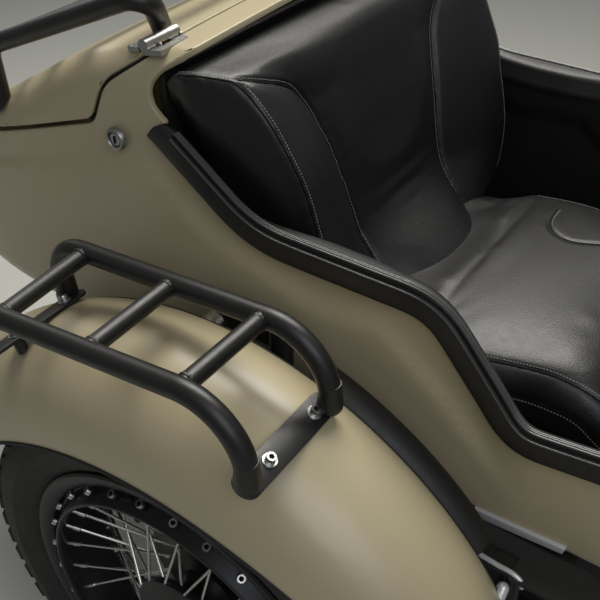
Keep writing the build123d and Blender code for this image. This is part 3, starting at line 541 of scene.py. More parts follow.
def arc_through(p1, p2, p3, count):
    """Points on the circle arc through three points in a plane."""
    ux, uy, radius = circle_through(p1, p2, p3)
    a1, a2, a3 = (atan2(y - uy, x - ux) for x, y in (p1, p2, p3))
    turn = (a3 - a1) % (2 * pi)
    if (a2 - a1) % (2 * pi) > turn:
        turn -= 2 * pi
    return [(ux + radius * cos(a1 + turn * k / count), uy + radius * sin(a1 + turn * k / count))
            for k in range(count + 1)]


def cut(item, cutter, operation="DIFFERENCE"):
    """Cuts one closed mesh with another; the cutter's own material marks the cut faces."""
    knife = item.modifiers.new("cut", "BOOLEAN")
    knife.operation = operation
    knife.object = cutter
    knife.solver = "EXACT"
    knife.material_mode = "TRANSFER"
    return flattened(item)


def bevelled(item, width_mm, segments=2, angle=radians(40)):
    """Rounds the edges that are sharper than an angle."""
    bevel = item.modifiers.new("round", "BEVEL")
    bevel.width = width_mm * MM
    bevel.segments = segments
    bevel.limit_method = "ANGLE"
    bevel.angle_limit = angle
    bevel.use_clamp_overlap = False
    flattened(item)
    soften(item)
    return item


def side_prism(name, outline, low=-1500.0, high=700.0):
    """A closed (x, z) outline carried across in Y, with its own marking material."""
    if "cut_face" not in bpy.data.materials:
        bpy.data.materials.new("cut_face")
    count = len(outline)
    points = [(x, y, z) for y in (low, high) for x, z in outline]
    faces = grid_faces(2, count, False, True) + [tuple(range(count)), tuple(range(count, 2 * count))[::-1]]
    item = mesh_piece(name, points, faces, None)
    item.data.materials.append(bpy.data.materials["cut_face"])
    return outward(item)


def box_piece(name, low, high, maker, bevel=0.0):
    """A box between two corners, its edges rounded."""
    points = [(x, y, z) for x in (low[0], high[0]) for y in (low[1], high[1]) for z in (low[2], high[2])]
    faces = [(0, 1, 3, 2), (4, 6, 7, 5), (0, 4, 5, 1), (2, 3, 7, 6), (0, 2, 6, 4), (1, 5, 7, 3)]
    item = outward(mesh_piece(name, points, faces, maker))
    return bevelled(item, bevel, 3) if bevel else item


def smooth_table(table, x):
    """The columns of a table read at x along a smooth line through its rows."""
    rows = np.array(table, float)
    xs, ys = rows[:, 0], rows[:, 1:]
    slopes = np.gradient(ys, xs, axis=0)
    x = np.atleast_1d(np.array(x, float))
    k = np.clip(np.searchsorted(xs, x) - 1, 0, len(xs) - 2)
    span = (xs[k + 1] - xs[k])[:, None]
    t = (x[:, None] - xs[k][:, None]) / span
    return (
        (2 * t**3 - 3 * t**2 + 1) * ys[k] + (t**3 - 2 * t**2 + t) * span * slopes[k]
        + (3 * t**2 - 2 * t**3) * ys[k + 1] + (t**3 - t**2) * span * slopes[k + 1]
    )


def smooth_step(value, low, high):
    """0 below low, 1 above high and an even S between them."""
    t = np.clip((value - low) / (high - low), 0, 1)
    return t * t * (3 - 2 * t)


def new_tree(name, sockets):
    """A Geometry Nodes tree with extra inputs; returns it, its inputs and their identifiers by label."""
    tree = bpy.data.node_groups.new(name, "GeometryNodeTree")
    for way in ("OUTPUT", "INPUT"):
        tree.interface.new_socket("Geometry", in_out=way, socket_type="NodeSocketGeometry")
    keys = {}
    for label, kind in sockets:
        socket = tree.interface.new_socket(label, in_out="INPUT", socket_type="NodeSocket" + kind)
        keys[label] = socket.identifier
    return tree, add_node(tree, "NodeGroupInput").outputs, keys


def grown(name, mesh, tree, instances, entry, values, smooth=SMOOTH_ANGLE):
    """Realizes a tree's instances with their finish on a mesh, as one plain mesh."""
    real = add_node(tree, "GeometryNodeRealizeInstances", {"Geometry": instances.outputs["Instances"]})
    coated = add_node(tree, "GeometryNodeSetMaterial",
                      {"Geometry": real.outputs["Geometry"], "Material": entry["Finish"]})
    add_node(tree, "NodeGroupOutput", {"Geometry": coated.outputs["Geometry"]})
    item = bpy.data.objects.new(name, mesh)
    bpy.context.scene.collection.objects.link(item)
    repeat = item.modifiers.new("repeat", "NODES")
    repeat.node_group = tree
    for key, value in values.items():
        repeat[key] = value
    flattened(item)
    bpy.data.node_groups.remove(tree)
    soften(item, smooth)
    return item


def copies(name, master, places, maker):
    """Copies of a master shape at a list of matrices, joined by Geometry Nodes into one mesh."""
    tree, entry, keys = new_tree(name, [("Shape", "Object"), ("Finish", "Material"), ("Size", "Float")])
    turn = add_node(tree, "GeometryNodeInputNamedAttribute", {"Name": "turn"}, data_type="FLOAT_VECTOR")
    info = add_node(tree, "GeometryNodeObjectInfo", {"Object": entry["Shape"]})
    instances = add_node(tree, "GeometryNodeInstanceOnPoints", {
        "Points": entry["Geometry"], "Instance": info.outputs["Geometry"],
        "Rotation": turn.outputs["Attribute"], "Scale": entry["Size"],
    })
    mesh = bpy.data.meshes.new(name)
    mesh.from_pydata([tuple(m.translation) for m in places], [], [])
    turns = mesh.attributes.new("turn", "FLOAT_VECTOR", "POINT")
    turns.data.foreach_set("vector", [c for m in places for c in m.to_euler("XYZ")])
    item = grown(name, mesh, tree, instances, entry,
                 {keys["Shape"]: master, keys["Finish"]: finish(maker), keys["Size"]: 1.0})
    discard(master)
    return item


def stitches(name, paths, pitch, length, radius, maker):
    """Rows of thread along paths in millimetres, one ellipsoid a stitch, by Geometry Nodes."""
    tree, entry, keys = new_tree(
        name, [("Stitch pitch", "Float"), ("Stitch size", "Vector"), ("Finish", "Material")])
    line = add_node(tree, "GeometryNodeMeshToCurve", {"Mesh": entry["Geometry"]})
    dots = add_node(tree, "GeometryNodeCurveToPoints",
                    {"Curve": line.outputs["Curve"], "Length": entry["Stitch pitch"]}, mode="LENGTH")
    grain = add_node(tree, "GeometryNodeMeshUVSphere", {"Segments": 6, "Rings": 4, "Radius": 1.0})
    instances = add_node(tree, "GeometryNodeInstanceOnPoints", {
        "Points": dots.outputs["Points"], "Instance": grain.outputs["Mesh"],
        "Rotation": dots.outputs["Rotation"], "Scale": entry["Stitch size"],
    })
    points, edges = [], []
    for path in paths:
        start = len(points)
        points += [tuple(MM * c for c in p) for p in path]
        edges += [(start + k, start + k + 1) for k in range(len(path) - 1)]
    mesh = bpy.data.meshes.new(name)
    mesh.from_pydata(points, edges, [])
    size = (radius * MM, radius * MM, length / 2 * MM)
    values = {keys["Stitch pitch"]: pitch * MM, keys["Stitch size"]: size, keys["Finish"]: finish(maker)}
    return grown(name, mesh, tree, instances, entry, values, radians(80))


def placed(origin, z_axis, x_hint=(1, 0, 0)):
    """A matrix that puts a shape's Z along an axis at a point in millimetres."""
    z = Vector(z_axis).normalized()
    x = Vector(x_hint)
    x = x - x.dot(z) * z
    if x.length < 1e-4:
        x = Vector((0, 1, 0)) - Vector((0, 1, 0)).dot(z) * z
    x.normalize()
    y = z.cross(x)
    turn = Matrix((x, y, z)).transposed().to_4x4()
    turn.translation = Vector(origin) * MM
    return turn


def socket_head(radius, height, hex_r):
    """A socket cap screw's head on its seat, its socket six-sided, Z up from the seat."""
    sides = 24

    def ring(r, z, hexed=False):
        out = []
        for k in range(sides):
            a = 2 * pi * k / sides
            size = hex_r / cos((a + pi / 6) % (pi / 3) - pi / 6) * cos(pi / 6) if hexed else r
            out.append((size * cos(a), size * sin(a), z))
        return out

    rings = [
        ring(radius, 0), ring(radius, height * 0.85), ring(radius * 0.93, height),
        ring(0, height, True), ring(0, height * 0.35, True),
    ]
    return loft("screw_head", rings, None, radians(30))


def lathe_up(name, profile, sides=24, smooth=SMOOTH_ANGLE):
    """A (radius, z) outline turned about Z as a master shape, open ends capped flat."""
    turns = [2 * pi * k / sides for k in range(sides)]
    rings = [[(r * cos(a), r * sin(a), z) for a in turns] for r, z in profile]
    return loft(name, rings, None, smooth)


def dress(node, maker):
    """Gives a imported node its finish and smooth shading."""
    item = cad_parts[node]
    if item.material_slots:
        for slot in item.material_slots:
            slot.material = finish(maker)
    else:
        item.data.materials.append(finish(maker))
    if not item.data.has_custom_normals:
        soften(item, radians(30))


def settle(item, body, slot, *nodes, fill=None):
    """Rides a finished piece on its body and hides the nodes that it stands for; its slot is not used."""
    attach(item, body)
    if nodes:
        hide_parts(*nodes)
    return item


# The tub's form

def swage_height(x):
    """Height of the pressed line at a place along the tub."""
    line = np.array(SWAGE_LINE, float)
    return np.interp(x, line[:, 0], line[:, 1])


def section_loop(x, inset=0.0):
    """The tub's section at x as (y, z) points, from the bottom middle round by the right side."""
    tub = bpy.context.scene.sidecar_tub
    half, top, bottom, shoulder, lower = smooth_table(TUB_SECTIONS, x)[0]
    h, t, b = half - inset, top - inset, bottom + inset
    sr, lr = max(shoulder - inset / 2, 3), max(lower - inset / 2, 3)
    right = [(-(h - lr) * k / 8, b) for k in range(8)]
    right += [(-(h - lr) - lr * sin(a), b + lr - lr * cos(a)) for a in np.linspace(0, pi / 2, 9)]
    right += [(-h, z) for z in np.linspace(b + lr, t - sr, 34)[1:-1]]
    right += [(-(h - sr) - sr * cos(a), t - sr + sr * sin(a)) for a in np.linspace(0, pi / 2, 15)]
    right += [(-(h - sr) * (1 - k / 14), t) for k in range(1, 15)]
    loop = np.array(right)
    # A crown across the top and a pressed step in the sides
    rise = tub.crown * smooth_step(loop[:, 1], t - sr, t) * (1 - (loop[:, 0] / h) ** 2)
    depth = tub.swage_depth * (1 - smooth_step(x, *SWAGE_FADE)) * smooth_step(x, *SWAGE_START)
    pressed = depth * smooth_step(loop[:, 1], swage_height(x) - 2, swage_height(x) + 8)
    sideways = smooth_step(-loop[:, 0], h - sr, h - sr * 0.4)
    loop = loop + np.stack([pressed * sideways, rise], axis=1)
    mirrored = loop[-2:0:-1] * (-1, 1)
    return np.concatenate([loop, mirrored]) + (TUB_Y, 0)


END_ROUND = 30.0
STATION_STEP = 9.0


def form_stations(low, high):
    """Stations along X as (x, inset), closing in round each blunt end."""
    inner = np.arange(low + END_ROUND, high - END_ROUND, STATION_STEP)
    dome = [END_ROUND * (1 - cos(a)) for a in np.linspace(0, pi / 2, 8)[:-1]]
    ends = [(d, END_ROUND - sqrt(max(0.0, END_ROUND**2 - (END_ROUND - d) ** 2))) for d in dome]
    ends = [(d, min(inset, 0.8 * END_ROUND)) for d, inset in ends]
    return [(low + d, inset) for d, inset in ends] + [(x, 0.0) for x in inner] + [
        (high - d, inset) for d, inset in reversed(ends)]


def tub_solid(name, inset, maker):
    """The tub's whole closed form, drawn in by an inset."""
    low, high = TUB_SECTIONS[0][0] + inset, TUB_SECTIONS[-1][0] - inset
    rings = []
    for x, close in form_stations(low, high):
        rings.append([(x, y, z) for y, z in section_loop(x, inset + close)])
    return loft(name, rings, maker)


def side_y(x, z):
    """How far the tub's side is from its middle at a place on it."""
    loop = section_loop(x)
    side = loop[:len(loop) // 2 + 1]
    order = np.argsort(side[:, 1])
    return TUB_Y - float(np.interp(z, side[order, 1], side[order, 0]))


# Reach of the knives past the tub, in z and at the cockpit's front and the lid's rear
CUT_TOP = 980.0
CUT_FRONT, CUT_REAR = 858, -760


def cockpit_outline():
    """The cockpit's opening as a closed (x, z) outline."""
    rim = rounded_path(RIM_CORNERS, RIM_BENDS)
    rear = [tuple(p) for p in curve_through(REAR_EDGE, 3.0)]
    return [tuple(p) for p in rim] + [(CUT_FRONT, CUT_TOP), (REAR_EDGE[0][0], CUT_TOP)] + rear


def lid_outline(gap):
    """The region over the lid's seam, moved out by a gap."""
    seam = rounded_path(LID_SEAM, LID_SEAM_BENDS, 3.0)
    direction = unit(np.gradient(seam, axis=0))
    # The seam runs backwards, so its left is down and forward
    moved = seam + gap * np.stack([-direction[:, 1], direction[:, 0]], axis=1)
    moved[0] = (seam[0][0] + gap, seam[0][1] - gap * 0.6)
    return [tuple(p) for p in moved] + [(CUT_REAR, CUT_TOP), (moved[0][0], CUT_TOP)]


def thickened(item, thickness, even=False):
    """Thickens an open skin inwards, by the same amount round bends if even."""
    shell = item.modifiers.new("sheet", "SOLIDIFY")
    shell.thickness = thickness * MM
    shell.offset = -1.0
    shell.use_even_offset = even
    return flattened(item)


def open_skin(item, thickness, round_width):
    """Drops the marked cut faces, thickens the skin inwards and rounds its edges."""
    builder = bmesh.new()
    builder.from_mesh(item.data)
    marked = item.data.materials.find("cut_face")
    bmesh.ops.delete(builder, geom=[f for f in builder.faces if f.material_index == marked], context="FACES")
    rim = [v for v in builder.verts if v.is_boundary]
    bmesh.ops.remove_doubles(builder, verts=rim, dist=0.002)
    bmesh.ops.dissolve_degenerate(builder, edges=builder.edges, dist=0.0001)
    builder.to_mesh(item.data)
    builder.free()
    item.data.materials.pop(index=marked)
    thickened(item, thickness, True)
    return bevelled(item, round_width, 3, radians(50))


def hex_setting(name, about, code):
    """A colour setting as an sRGB hex code."""
    return bpy.props.StringProperty(name=name, description=about, default=code)


def size_setting(name, about, size, low=0.0):
    """A size setting in millimetres."""
    return bpy.props.FloatProperty(name=name, description=about, default=size, min=low)


class TubSettings(bpy.types.PropertyGroup):
    """Paint and pressing of the tub."""
    paint: hex_setting("Paint", "Lighter paint colour, sRGB hex", "#B1A688")
    paint_dark: hex_setting("Paint, darker", "Darker drift of the paint", "#A69B7D")
    crown: size_setting("Crown", "Rise across the top, mm", 9.0)
    swage_depth: size_setting("Swage", "Depth of the pressed side line, mm", 6.5)


class SeatSettings(bpy.types.PropertyGroup):
    """Leather and thread of the upholstery."""
    leather: hex_setting("Leather", "Leather colour, sRGB hex", "#151516")
    leather_dark: hex_setting("Leather, darker", "Darker drift", "#0C0C0D")
    thread: hex_setting("Thread", "Thread colour, sRGB hex", "#8E8D88")
    stitch_pitch: size_setting("Stitch pitch", "From stitch to stitch, mm", 3.8, 2.0)
    stitch_length: size_setting("Stitch length", "Length of a stitch, mm", 2.8, 1.0)


class WheelSettings(bpy.types.PropertyGroup):
    """Tread of the wheel."""
    lugs: bpy.props.IntProperty(name="Tread blocks", description="Blocks round the tyre in a row",
                                default=54, min=12)
    lug_height: size_setting("Block height", "Height of a tread block, mm", 8.5)


class StageSettings(bpy.types.PropertyGroup):
    """Floor and light."""
    floor: hex_setting("Floor", "Floor colour, sRGB hex", "#B9BAB5")
    key_power: bpy.props.FloatProperty(name="Key light", description="Power of the overhead light",
                                       default=84.0, subtype="POWER")
    fill_power: bpy.props.FloatProperty(name="Fill light", description="Power of the side light",
                                        default=16.0, subtype="POWER")


# Camera at the photograph's place, and the square floor under the lowest part
CAMERA_PLACE, CAMERA_LOOK = (628, -1367, 1105), (-0.444, 0.653, -0.613)
CAMERA_LENS, CAMERA_SENSOR, CAMERA_NEAR = 54.0, 36.0, 50.0
FLOOR_REACH, FLOOR_DROP = 9000.0, 7.0
WORLD_STRENGTH = 0.25
BACK_SHARE = 0.3


def aimed(name, data, place, look):
    """A lamp or camera at a place, looking along a direction."""
    item = bpy.data.objects.new(name, data)
    item.location = Vector(place) * MM
    item.rotation_mode = "QUATERNION"
    item.rotation_quaternion = look.to_track_quat("-Z", "Y")
    bpy.context.scene.collection.objects.link(item)
    return item


class SIDECAR_OT_stage(bpy.types.Operator):
    """Makes the floor, the lights and the camera at the photograph's place."""
    bl_idname = "sidecar.stage"
    bl_label = "Stage and camera"

    def execute(self, context):
        scene = context.scene
        stage = scene.sidecar_stage
        scene.view_settings.view_transform = "Standard"
        corners = [(x * FLOOR_REACH, y * FLOOR_REACH, FLOOR_Z - FLOOR_DROP)
                   for x, y in ((-1, -1), (1, -1), (1, 1), (-1, 1))]
        floor = mesh_piece("floor", corners, [(0, 1, 2, 3)], None)
        floor_finish, tree, shader, place = new_finish("pale_floor_screed", stage.floor, 0.7)
        add_bump(tree, shader, noise_at(tree, place, 30, 4), 0.1)
        floor.data.materials.append(floor_finish)
        world = bpy.data.worlds.new("soft_room")
        world.use_nodes = True
        sky = world.node_tree.nodes["Background"].inputs
        sky["Color"].default_value = linear("#DADBD8")
        sky["Strength"].default_value = WORLD_STRENGTH
        scene.world = world
        back_power = stage.fill_power * BACK_SHARE
        # Lights as name, place, aim, size, power and colour
        lights = [
            ("overhead", (-300, 500, 2600), (150, -420, 400), (1800, 1200), stage.key_power, "#FFFCF5"),
            ("window", (1500, -1700, 1900), (200, -600, 300), (1400, 1400), stage.fill_power, "#F2F5FF"),
            ("back", (-2100, 300, 1500), (0, -400, 400), (1200, 900), back_power, "#FFFFFF"),
        ]
        for name, place, aim, size, power, colour in lights:
            lamp = bpy.data.lights.new(name, "AREA")
            lamp.shape = "RECTANGLE"
            lamp.size, lamp.size_y = size[0] * MM, size[1] * MM
            lamp.energy = power
            lamp.color = linear(colour)[:3]
            aimed(name, lamp, place, Vector(aim) - Vector(place))
        camera = bpy.data.cameras.new("camera")
        camera.lens = CAMERA_LENS
        camera.sensor_width = CAMERA_SENSOR
        camera.clip_start = CAMERA_NEAR * MM
        scene.camera = aimed("camera", camera, CAMERA_PLACE, Vector(CAMERA_LOOK))
        return {"FINISHED"}


# Opening in the tub's bottom as x, half width and z, and the lining's reach in x
WELL_X, WELL_HALF, WELL_Z = (-310, 1020), 197, (240, 330)
LINING_X = (14, 795)
LINING_WALL, LINING_GAP = 4.0, 3.5
LINING_Z = (200, 900)
SHEET_ROUND, LINING_ROUND = 1.6, 1.2


class SIDECAR_OT_tub(bpy.types.Operator):
    """Makes the painted tub with its cockpit and trunk openings, and the lining inside it."""
    bl_idname = "sidecar.tub"
    bl_label = "Tub and lining"

    def execute(self, context):
        cockpit = side_prism("cockpit_knife", cockpit_outline())
        trunk = side_prism("trunk_knife", lid_outline(SEAM_GAP))
        low, high = ((x, TUB_Y + side * WELL_HALF, z) for x, side, z in zip(WELL_X, (-1, 1), WELL_Z))
        well = box_piece("well_knife", low, high, None)
        well.data.materials.append(bpy.data.materials["cut_face"])
        tub = tub_solid("tub_skin", 0.0, sand_paint)
        lining = tub_solid("cockpit_trim", TUB_WALL + LINING_GAP, black_trim)
        for knife in (cockpit, trunk, well):
            cut(tub, knife)
        open_skin(tub, TUB_WALL, SHEET_ROUND)
        (rear, front), (low, high) = LINING_X, LINING_Z
        inner = side_prism("lining_knife", [(rear, low), (front, low), (front, high), (rear, high)])
        cut(lining, inner, "INTERSECT")
        for knife in (cockpit, well):
            cut(lining, knife)
        open_skin(lining, LINING_WALL, LINING_ROUND)
        settle(tub, "root", "sand_paint", "tub")
        settle(lining, "root", "black_trim", "cockpit_lining")
        discard(cockpit, trunk, well, inner)
        return {"FINISHED"}


# Lid seal: radius, distance in from the tub's side, shift forward and down from the seam and rear end,
# then its run across the top as height at the sides, rise and half width
SEAL_R, SEAL_INSET, SEAL_SHIFT, SEAL_REAR = 5.0, 12.0, 3, -600
SEAL_TOP, SEAL_RISE, SEAL_HALF = 706, 8, 250


class SIDECAR_OT_lid(bpy.types.Operator):
    """Makes the trunk lid and the rubber seal under its edge."""
    bl_idname = "sidecar.lid"
    bl_label = "Trunk lid"

    def execute(self, context):
        region = side_prism("lid_knife", lid_outline(0.0))
        lid = tub_solid("trunk_lid_skin", 0.0, sand_paint)
        cut(lid, region, "INTERSECT")
        discard(region)
        open_skin(lid, LID_SKIN, SHEET_ROUND)
        settle(lid, "lid", "sand_paint", "trunk_lid")
        seals = []
        seam = evenly(rounded_path(LID_SEAM, LID_SEAM_BENDS, 4.0)[:-1], 8.0)
        seam = [(x, z - SEAL_SHIFT) for x, z in seam if x > SEAL_REAR]
        for side in (-1, 1):
            path = []
            for x, z in seam:
                path.append((x + SEAL_SHIFT, TUB_Y + side * (side_y(x, z) - SEAL_INSET), z))
            seals.append(tube("lid_seal", path, SEAL_R, mount_rubber, 10))
        start = LID_SEAM[0][0] + SEAL_SHIFT
        top = [(start, TUB_Y + y, SEAL_TOP + SEAL_RISE * (1 - (y / SEAL_HALF) ** 2))
               for y in np.linspace(-SEAL_HALF, SEAL_HALF, 20)]
        seals.append(tube("lid_seal_top", top, SEAL_R, mount_rubber, 10))
        settle(joined("lid_seals", seals), "root", "mount_rubber")
        return {"FINISHED"}


# Rim roll section, as (out from the tub's side, up from the rim line), once round
ROLL_SECTION = [
    (-8, -1), (0, -1.5), (9, -1.5), (12.2, 1.5), (13.2, 7), (13.3, 18), (12.6, 25), (11.2, 27.4),
    (9.4, 29.2), (8.4, 31.6), (6.2, 32.8), (1.5, 33), (-2.5, 31.5), (-5.5, 27.5), (-8, 20), (-10.5, 12),
    (-12.5, 5), (-12, 0), (-8, -1),
]
# The roll is broader beside the seat, as (x, extra width inwards)
ROLL_EXTRA = [(-40, 0), (110, 0), (150, 8), (209, 14), (263, 13), (300, 8), (350, 2), (900, 0)]
# Piped welt along the roll's outer edge and ribs of its sewn top, as (out, up, radius)
ROLL_WELTS = [(12.4, 26.2, 1.2), (7.6, 33.0, 1.3), (5.2, 33.7, 1.2), (2.9, 33.7, 1.2)]
# Dark cord in the groove between the welts, as (out, up, radius): painted shade in the groove
ROLL_GROOVE = (9.9, 30.0, 1.3)
ROLL_STITCHES, ROLL_THREAD_R = (0.2, 33.2), 0.4
# Points of the line that the welts and the stitches follow, short of the roll's ends
WELT_RUN, STITCH_RUN = slice(4, -1), slice(6, -2)
# The roll's end closes towards its outer lower corner over a few rings
ROLL_CORNER, ROLL_END = 12, 5
SCUTTLE_X = 851.0


def opening_line(side):
    """The cockpit's edge from the seat's top round the scuttle's middle, with its up and out directions."""
    rim = evenly(rounded_path(RIM_CORNERS, RIM_BENDS), 6.0)
    along = unit(np.gradient(rim, axis=0))
    places = [(x, TUB_Y - side_y(x, z), z) for x, z in rim]
    ups = [(-t[1], 0, t[0]) for t in along]
    outs = [(0, -1, 0)] * len(rim)
    loop = section_loop(SCUTTLE_X)
    loop = loop[:len(loop) // 2 + 1]
    over = evenly([p for p in loop if p[1] > rim[-1][1] + 4], 6.0)
    turn = unit(np.gradient(over, axis=0))
    places += [(SCUTTLE_X, y, z) for y, z in over]
    ups += [(-1, 0, 0)] * len(over)
    outs += [(0, -t[1], t[0]) for t in turn]
    places, ups, outs = (evened(np.array(rows, float), 6) for rows in (places, ups, outs))
    ups = unit(ups)
    outs = unit(outs - (outs * ups).sum(axis=1)[:, None] * ups)
    if side > 0:
        for rows, middle in ((places, 2 * TUB_Y), (ups, 0), (outs, 0)):
            rows[:, 1] = middle - rows[:, 1]
    return places, ups, outs


def on_roll(side, out, up):
    """A line along the roll at a place on its section."""
    places, ups, outs = opening_line(side)
    return places + out * outs + up * ups


class SIDECAR_OT_padding(bpy.types.Operator):
    """Makes the padded roll round the cockpit's edge with its welt and stitching."""
    bl_idname = "sidecar.padding"
    bl_label = "Cockpit roll"

    def execute(self, context):
        seat = context.scene.sidecar_seat
        section = evenly(curve_through(ROLL_SECTION, 1.0), 2.2)[:-1]
        for side, name, nodes in ((-1, "right", ("rim_padding_right", "scuttle_padding")),
                                  (1, "left", ("rim_padding_left",))):
            places, ups, outs = opening_line(side)
            extra = np.interp(places[:, 0], *np.array(ROLL_EXTRA, float).T)
            rings = []
            for k, (place, up, out) in enumerate(zip(places, ups, outs)):
                close = 0.5 + 0.5 * sqrt(1 - (1 - min(1.0, k / ROLL_END)) ** 2)
                ring = []
                for o, u in section:
                    inner = extra[k] * smooth_step(-o, -2, 6)
                    across = ROLL_CORNER + (o - ROLL_CORNER) * close - inner
                    ring.append(place + across * out + u * close * up)
                rings.append(ring)
            roll = loft(f"roll_{name}", rings, black_trim, radians(50))
            settle(roll, "root", "black_trim", *nodes)
        # The welts and ribs are pale grey: painted highlight on the black roll
        welts = [tube("roll_welt", on_roll(side, o, u)[WELT_RUN], r, pale_welt_highlight, 10)
                 for side in (-1, 1) for o, u, r in ROLL_WELTS]
        settle(joined("roll_welts", welts), "root", "black_trim")
        o, u, r = ROLL_GROOVE
        grooves = [tube("roll_groove", on_roll(side, o, u)[WELT_RUN], r, seam_cord, 8)
                   for side in (-1, 1)]
        settle(joined("roll_grooves", grooves), "root", "black_trim")
        rows = [on_roll(side, *ROLL_STITCHES)[STITCH_RUN] for side in (-1, 1)]
        pitch, length = seat.stitch_pitch, seat.stitch_length
        thread = stitches("roll_stitches", rows, pitch, length, ROLL_THREAD_R, dark_thread)
        settle(thread, "root", "black_trim")
        return {"FINISHED"}


# Seat back by level: height, x and half width behind, ridge seam x and half width, valley seam x and half
# width, middle x; it starts a little inside the cushion
BACK_LEVELS = [
    (392, -12, 250, 182, 243, 199, 112, 266),
    (404, -12, 250, 184, 244, 192, 112, 252),
    (430, -12, 252, 189, 247, 172, 112, 214),
    (460, -12, 254, 190, 248, 150, 114, 166),
    (500, -12, 256, 185, 250, 137, 118, 138),
    (550, -12, 261, 172, 252, 124, 127, 115),
    (600, -12, 266, 157, 255, 108, 139, 98),
    (640, -12, 274, 137, 259, 94, 153, 86),
    (668, -12, 281, 119, 261, 87, 174, 79),
    (688, -12, 286, 101, 263, 87, 206, 72),
    (702, -4, 289, 85, 265, 84, 236, 67),
    (711, 6, 289, 72, 267, 74, 256, 62),
]


# Columns of the ridge and valley seams in that table
RIDGE, VALLEY = (3, 4), (5, 6)
# Its middle is dished by a power of the half width; bolsters and sides bulge in millimetres
BACK_DISH, BOLSTER_BULGE, SIDE_BULGE = 2.4, 9, 4
# X that the top closes towards, its inset and how far the cloth may swell
BACK_SPINE, BACK_INSET, BACK_SWELL = 36.0, 4.0, 9.0


def back_ring(z):
    """The seat back's section at a height, as (x, half-width) from the middle round to behind the middle."""
    rear_x, rear, bx, bw, ax, aw, cx = smooth_table(BACK_LEVELS, z)[0]
    half = []
    for k in range(10):
        t = k / 10
        half.append((cx + (ax - cx) * t**BACK_DISH, aw * t))
    for k in range(10):
        t = k / 10
        half.append((ax + (bx - ax) * t + BOLSTER_BULGE * sin(pi * t), aw + (bw - aw) * t))
    for k in range(10):
        t = k / 10
        half.append((bx + (rear_x - bx) * t, bw + (rear - bw) * t + SIDE_BULGE * sin(pi * t)))
    half += [(rear_x, rear * (1 - k / 10)) for k in range(11)]
    return half


def whole_ring(half, z, rise=0.0):
    """A half section mirrored about the tub's middle, at a height."""
    widest = max(w for _, w in half)
    near = [(x, TUB_Y - w, z + rise * (1 - (w / widest) ** 2)) for x, w in half]
    far = [(x, TUB_Y + w, z + rise * (1 - (w / widest) ** 2)) for x, w in half[1:-1]][::-1]
    return near + far


def back_form():
    """The seat back's closed form, a little smaller than the back that the cloth swells to."""
    rings = []
    low, high = BACK_LEVELS[0][0], BACK_LEVELS[-1][0]
    for z in np.linspace(low, high - BACK_INSET, 38):
        rings.append(whole_ring(back_ring(z), z))
    top = back_ring(high)
    for t in (0.25, 0.5, 0.7, 0.88, 0.97):
        scale = cos(pi / 2 * t)
        half = [(BACK_SPINE + (x - BACK_SPINE) * scale, w * (1 - 0.06 * t * t)) for x, w in top]
        rings.append(whole_ring(half, high - BACK_INSET + 5 * sin(pi / 2 * t), 5 * t))
    return loft("back_form", rings, black_leather)


def seam_line(columns, side):
    """A seam down one side of the seat back from two columns of its table."""
    rows = [(row[columns[0]], TUB_Y + side * row[columns[1]], row[0]) for row in BACK_LEVELS]
    return curve_through(rows[::-1], 4.0)


# Cloth: voxel size and pressure of both pieces, how near a seam it is held, in metres, and the last frame
VOXEL, PRESSURE = 6.0, 4.0
PIN_REACH = 7 * MM
LAST_FRAME = 20
EASE_ROUNDS = 6


def swollen(item, cap_mm, pins):
    """Inflates a closed form as cloth, held near the pinned lines, and smooths it once."""
    remesh = item.modifiers.new("even", "REMESH")
    remesh.mode = "VOXEL"
    remesh.voxel_size = VOXEL * MM
    flattened(item)
    start = np.empty(len(item.data.vertices) * 3)
    item.data.vertices.foreach_get("co", start)
    group = item.vertex_groups.new(name="seams")
    for vertex in item.data.vertices:
        if min(tree.find(vertex.co)[2] for tree in pins) < PIN_REACH:
            group.add([vertex.index], 1.0, "REPLACE")
    cloth = item.modifiers.new("cloth", "CLOTH")
    cloth.settings.use_pressure = True
    cloth.settings.uniform_pressure_force = PRESSURE
    cloth.settings.effector_weights.gravity = 0.0
    cloth.settings.vertex_group_mass = "seams"
    cloth.settings.quality = 5
    scene = bpy.context.scene
    scene.frame_start = 1
    scene.frame_end = LAST_FRAME
    for count in range(1, LAST_FRAME + 1):
        scene.frame_set(count)
    flattened(item)
    scene.frame_set(1)
    end = np.empty(len(start))
    item.data.vertices.foreach_get("co", end)
    moved = (end - start).reshape(-1, 3)
    length = np.linalg.norm(moved, axis=1)
    moved *= np.minimum(1.0, cap_mm * MM / np.maximum(length, 1e-9))[:, None]
    item.data.vertices.foreach_set("co", (start.reshape(-1, 3) + moved).ravel())
    ease = item.modifiers.new("ease", "SMOOTH")
    ease.factor = 0.5
    ease.iterations = EASE_ROUNDS
    smooth = item.modifiers.new("smooth", "SUBSURF")
    smooth.levels = smooth.render_levels = 1
    flattened(item)
    item.vertex_groups.clear()
    item.data.materials.clear()
    item.data.materials.append(finish(black_leather))
    soften(item, radians(60))
    return item


def line_tree(path):
    """A search tree over a line's points, in metres."""
    tree = KDTree(len(path))
    for k, p in enumerate(path):
        tree.insert(Vector(p) * MM, k)
    tree.balance()
    return tree


def surface_of(item):
    """A search tree over an item's faces."""
    return BVHTree.FromPolygons([v.co for v in item.data.vertices], [p.vertices for p in item.data.polygons])


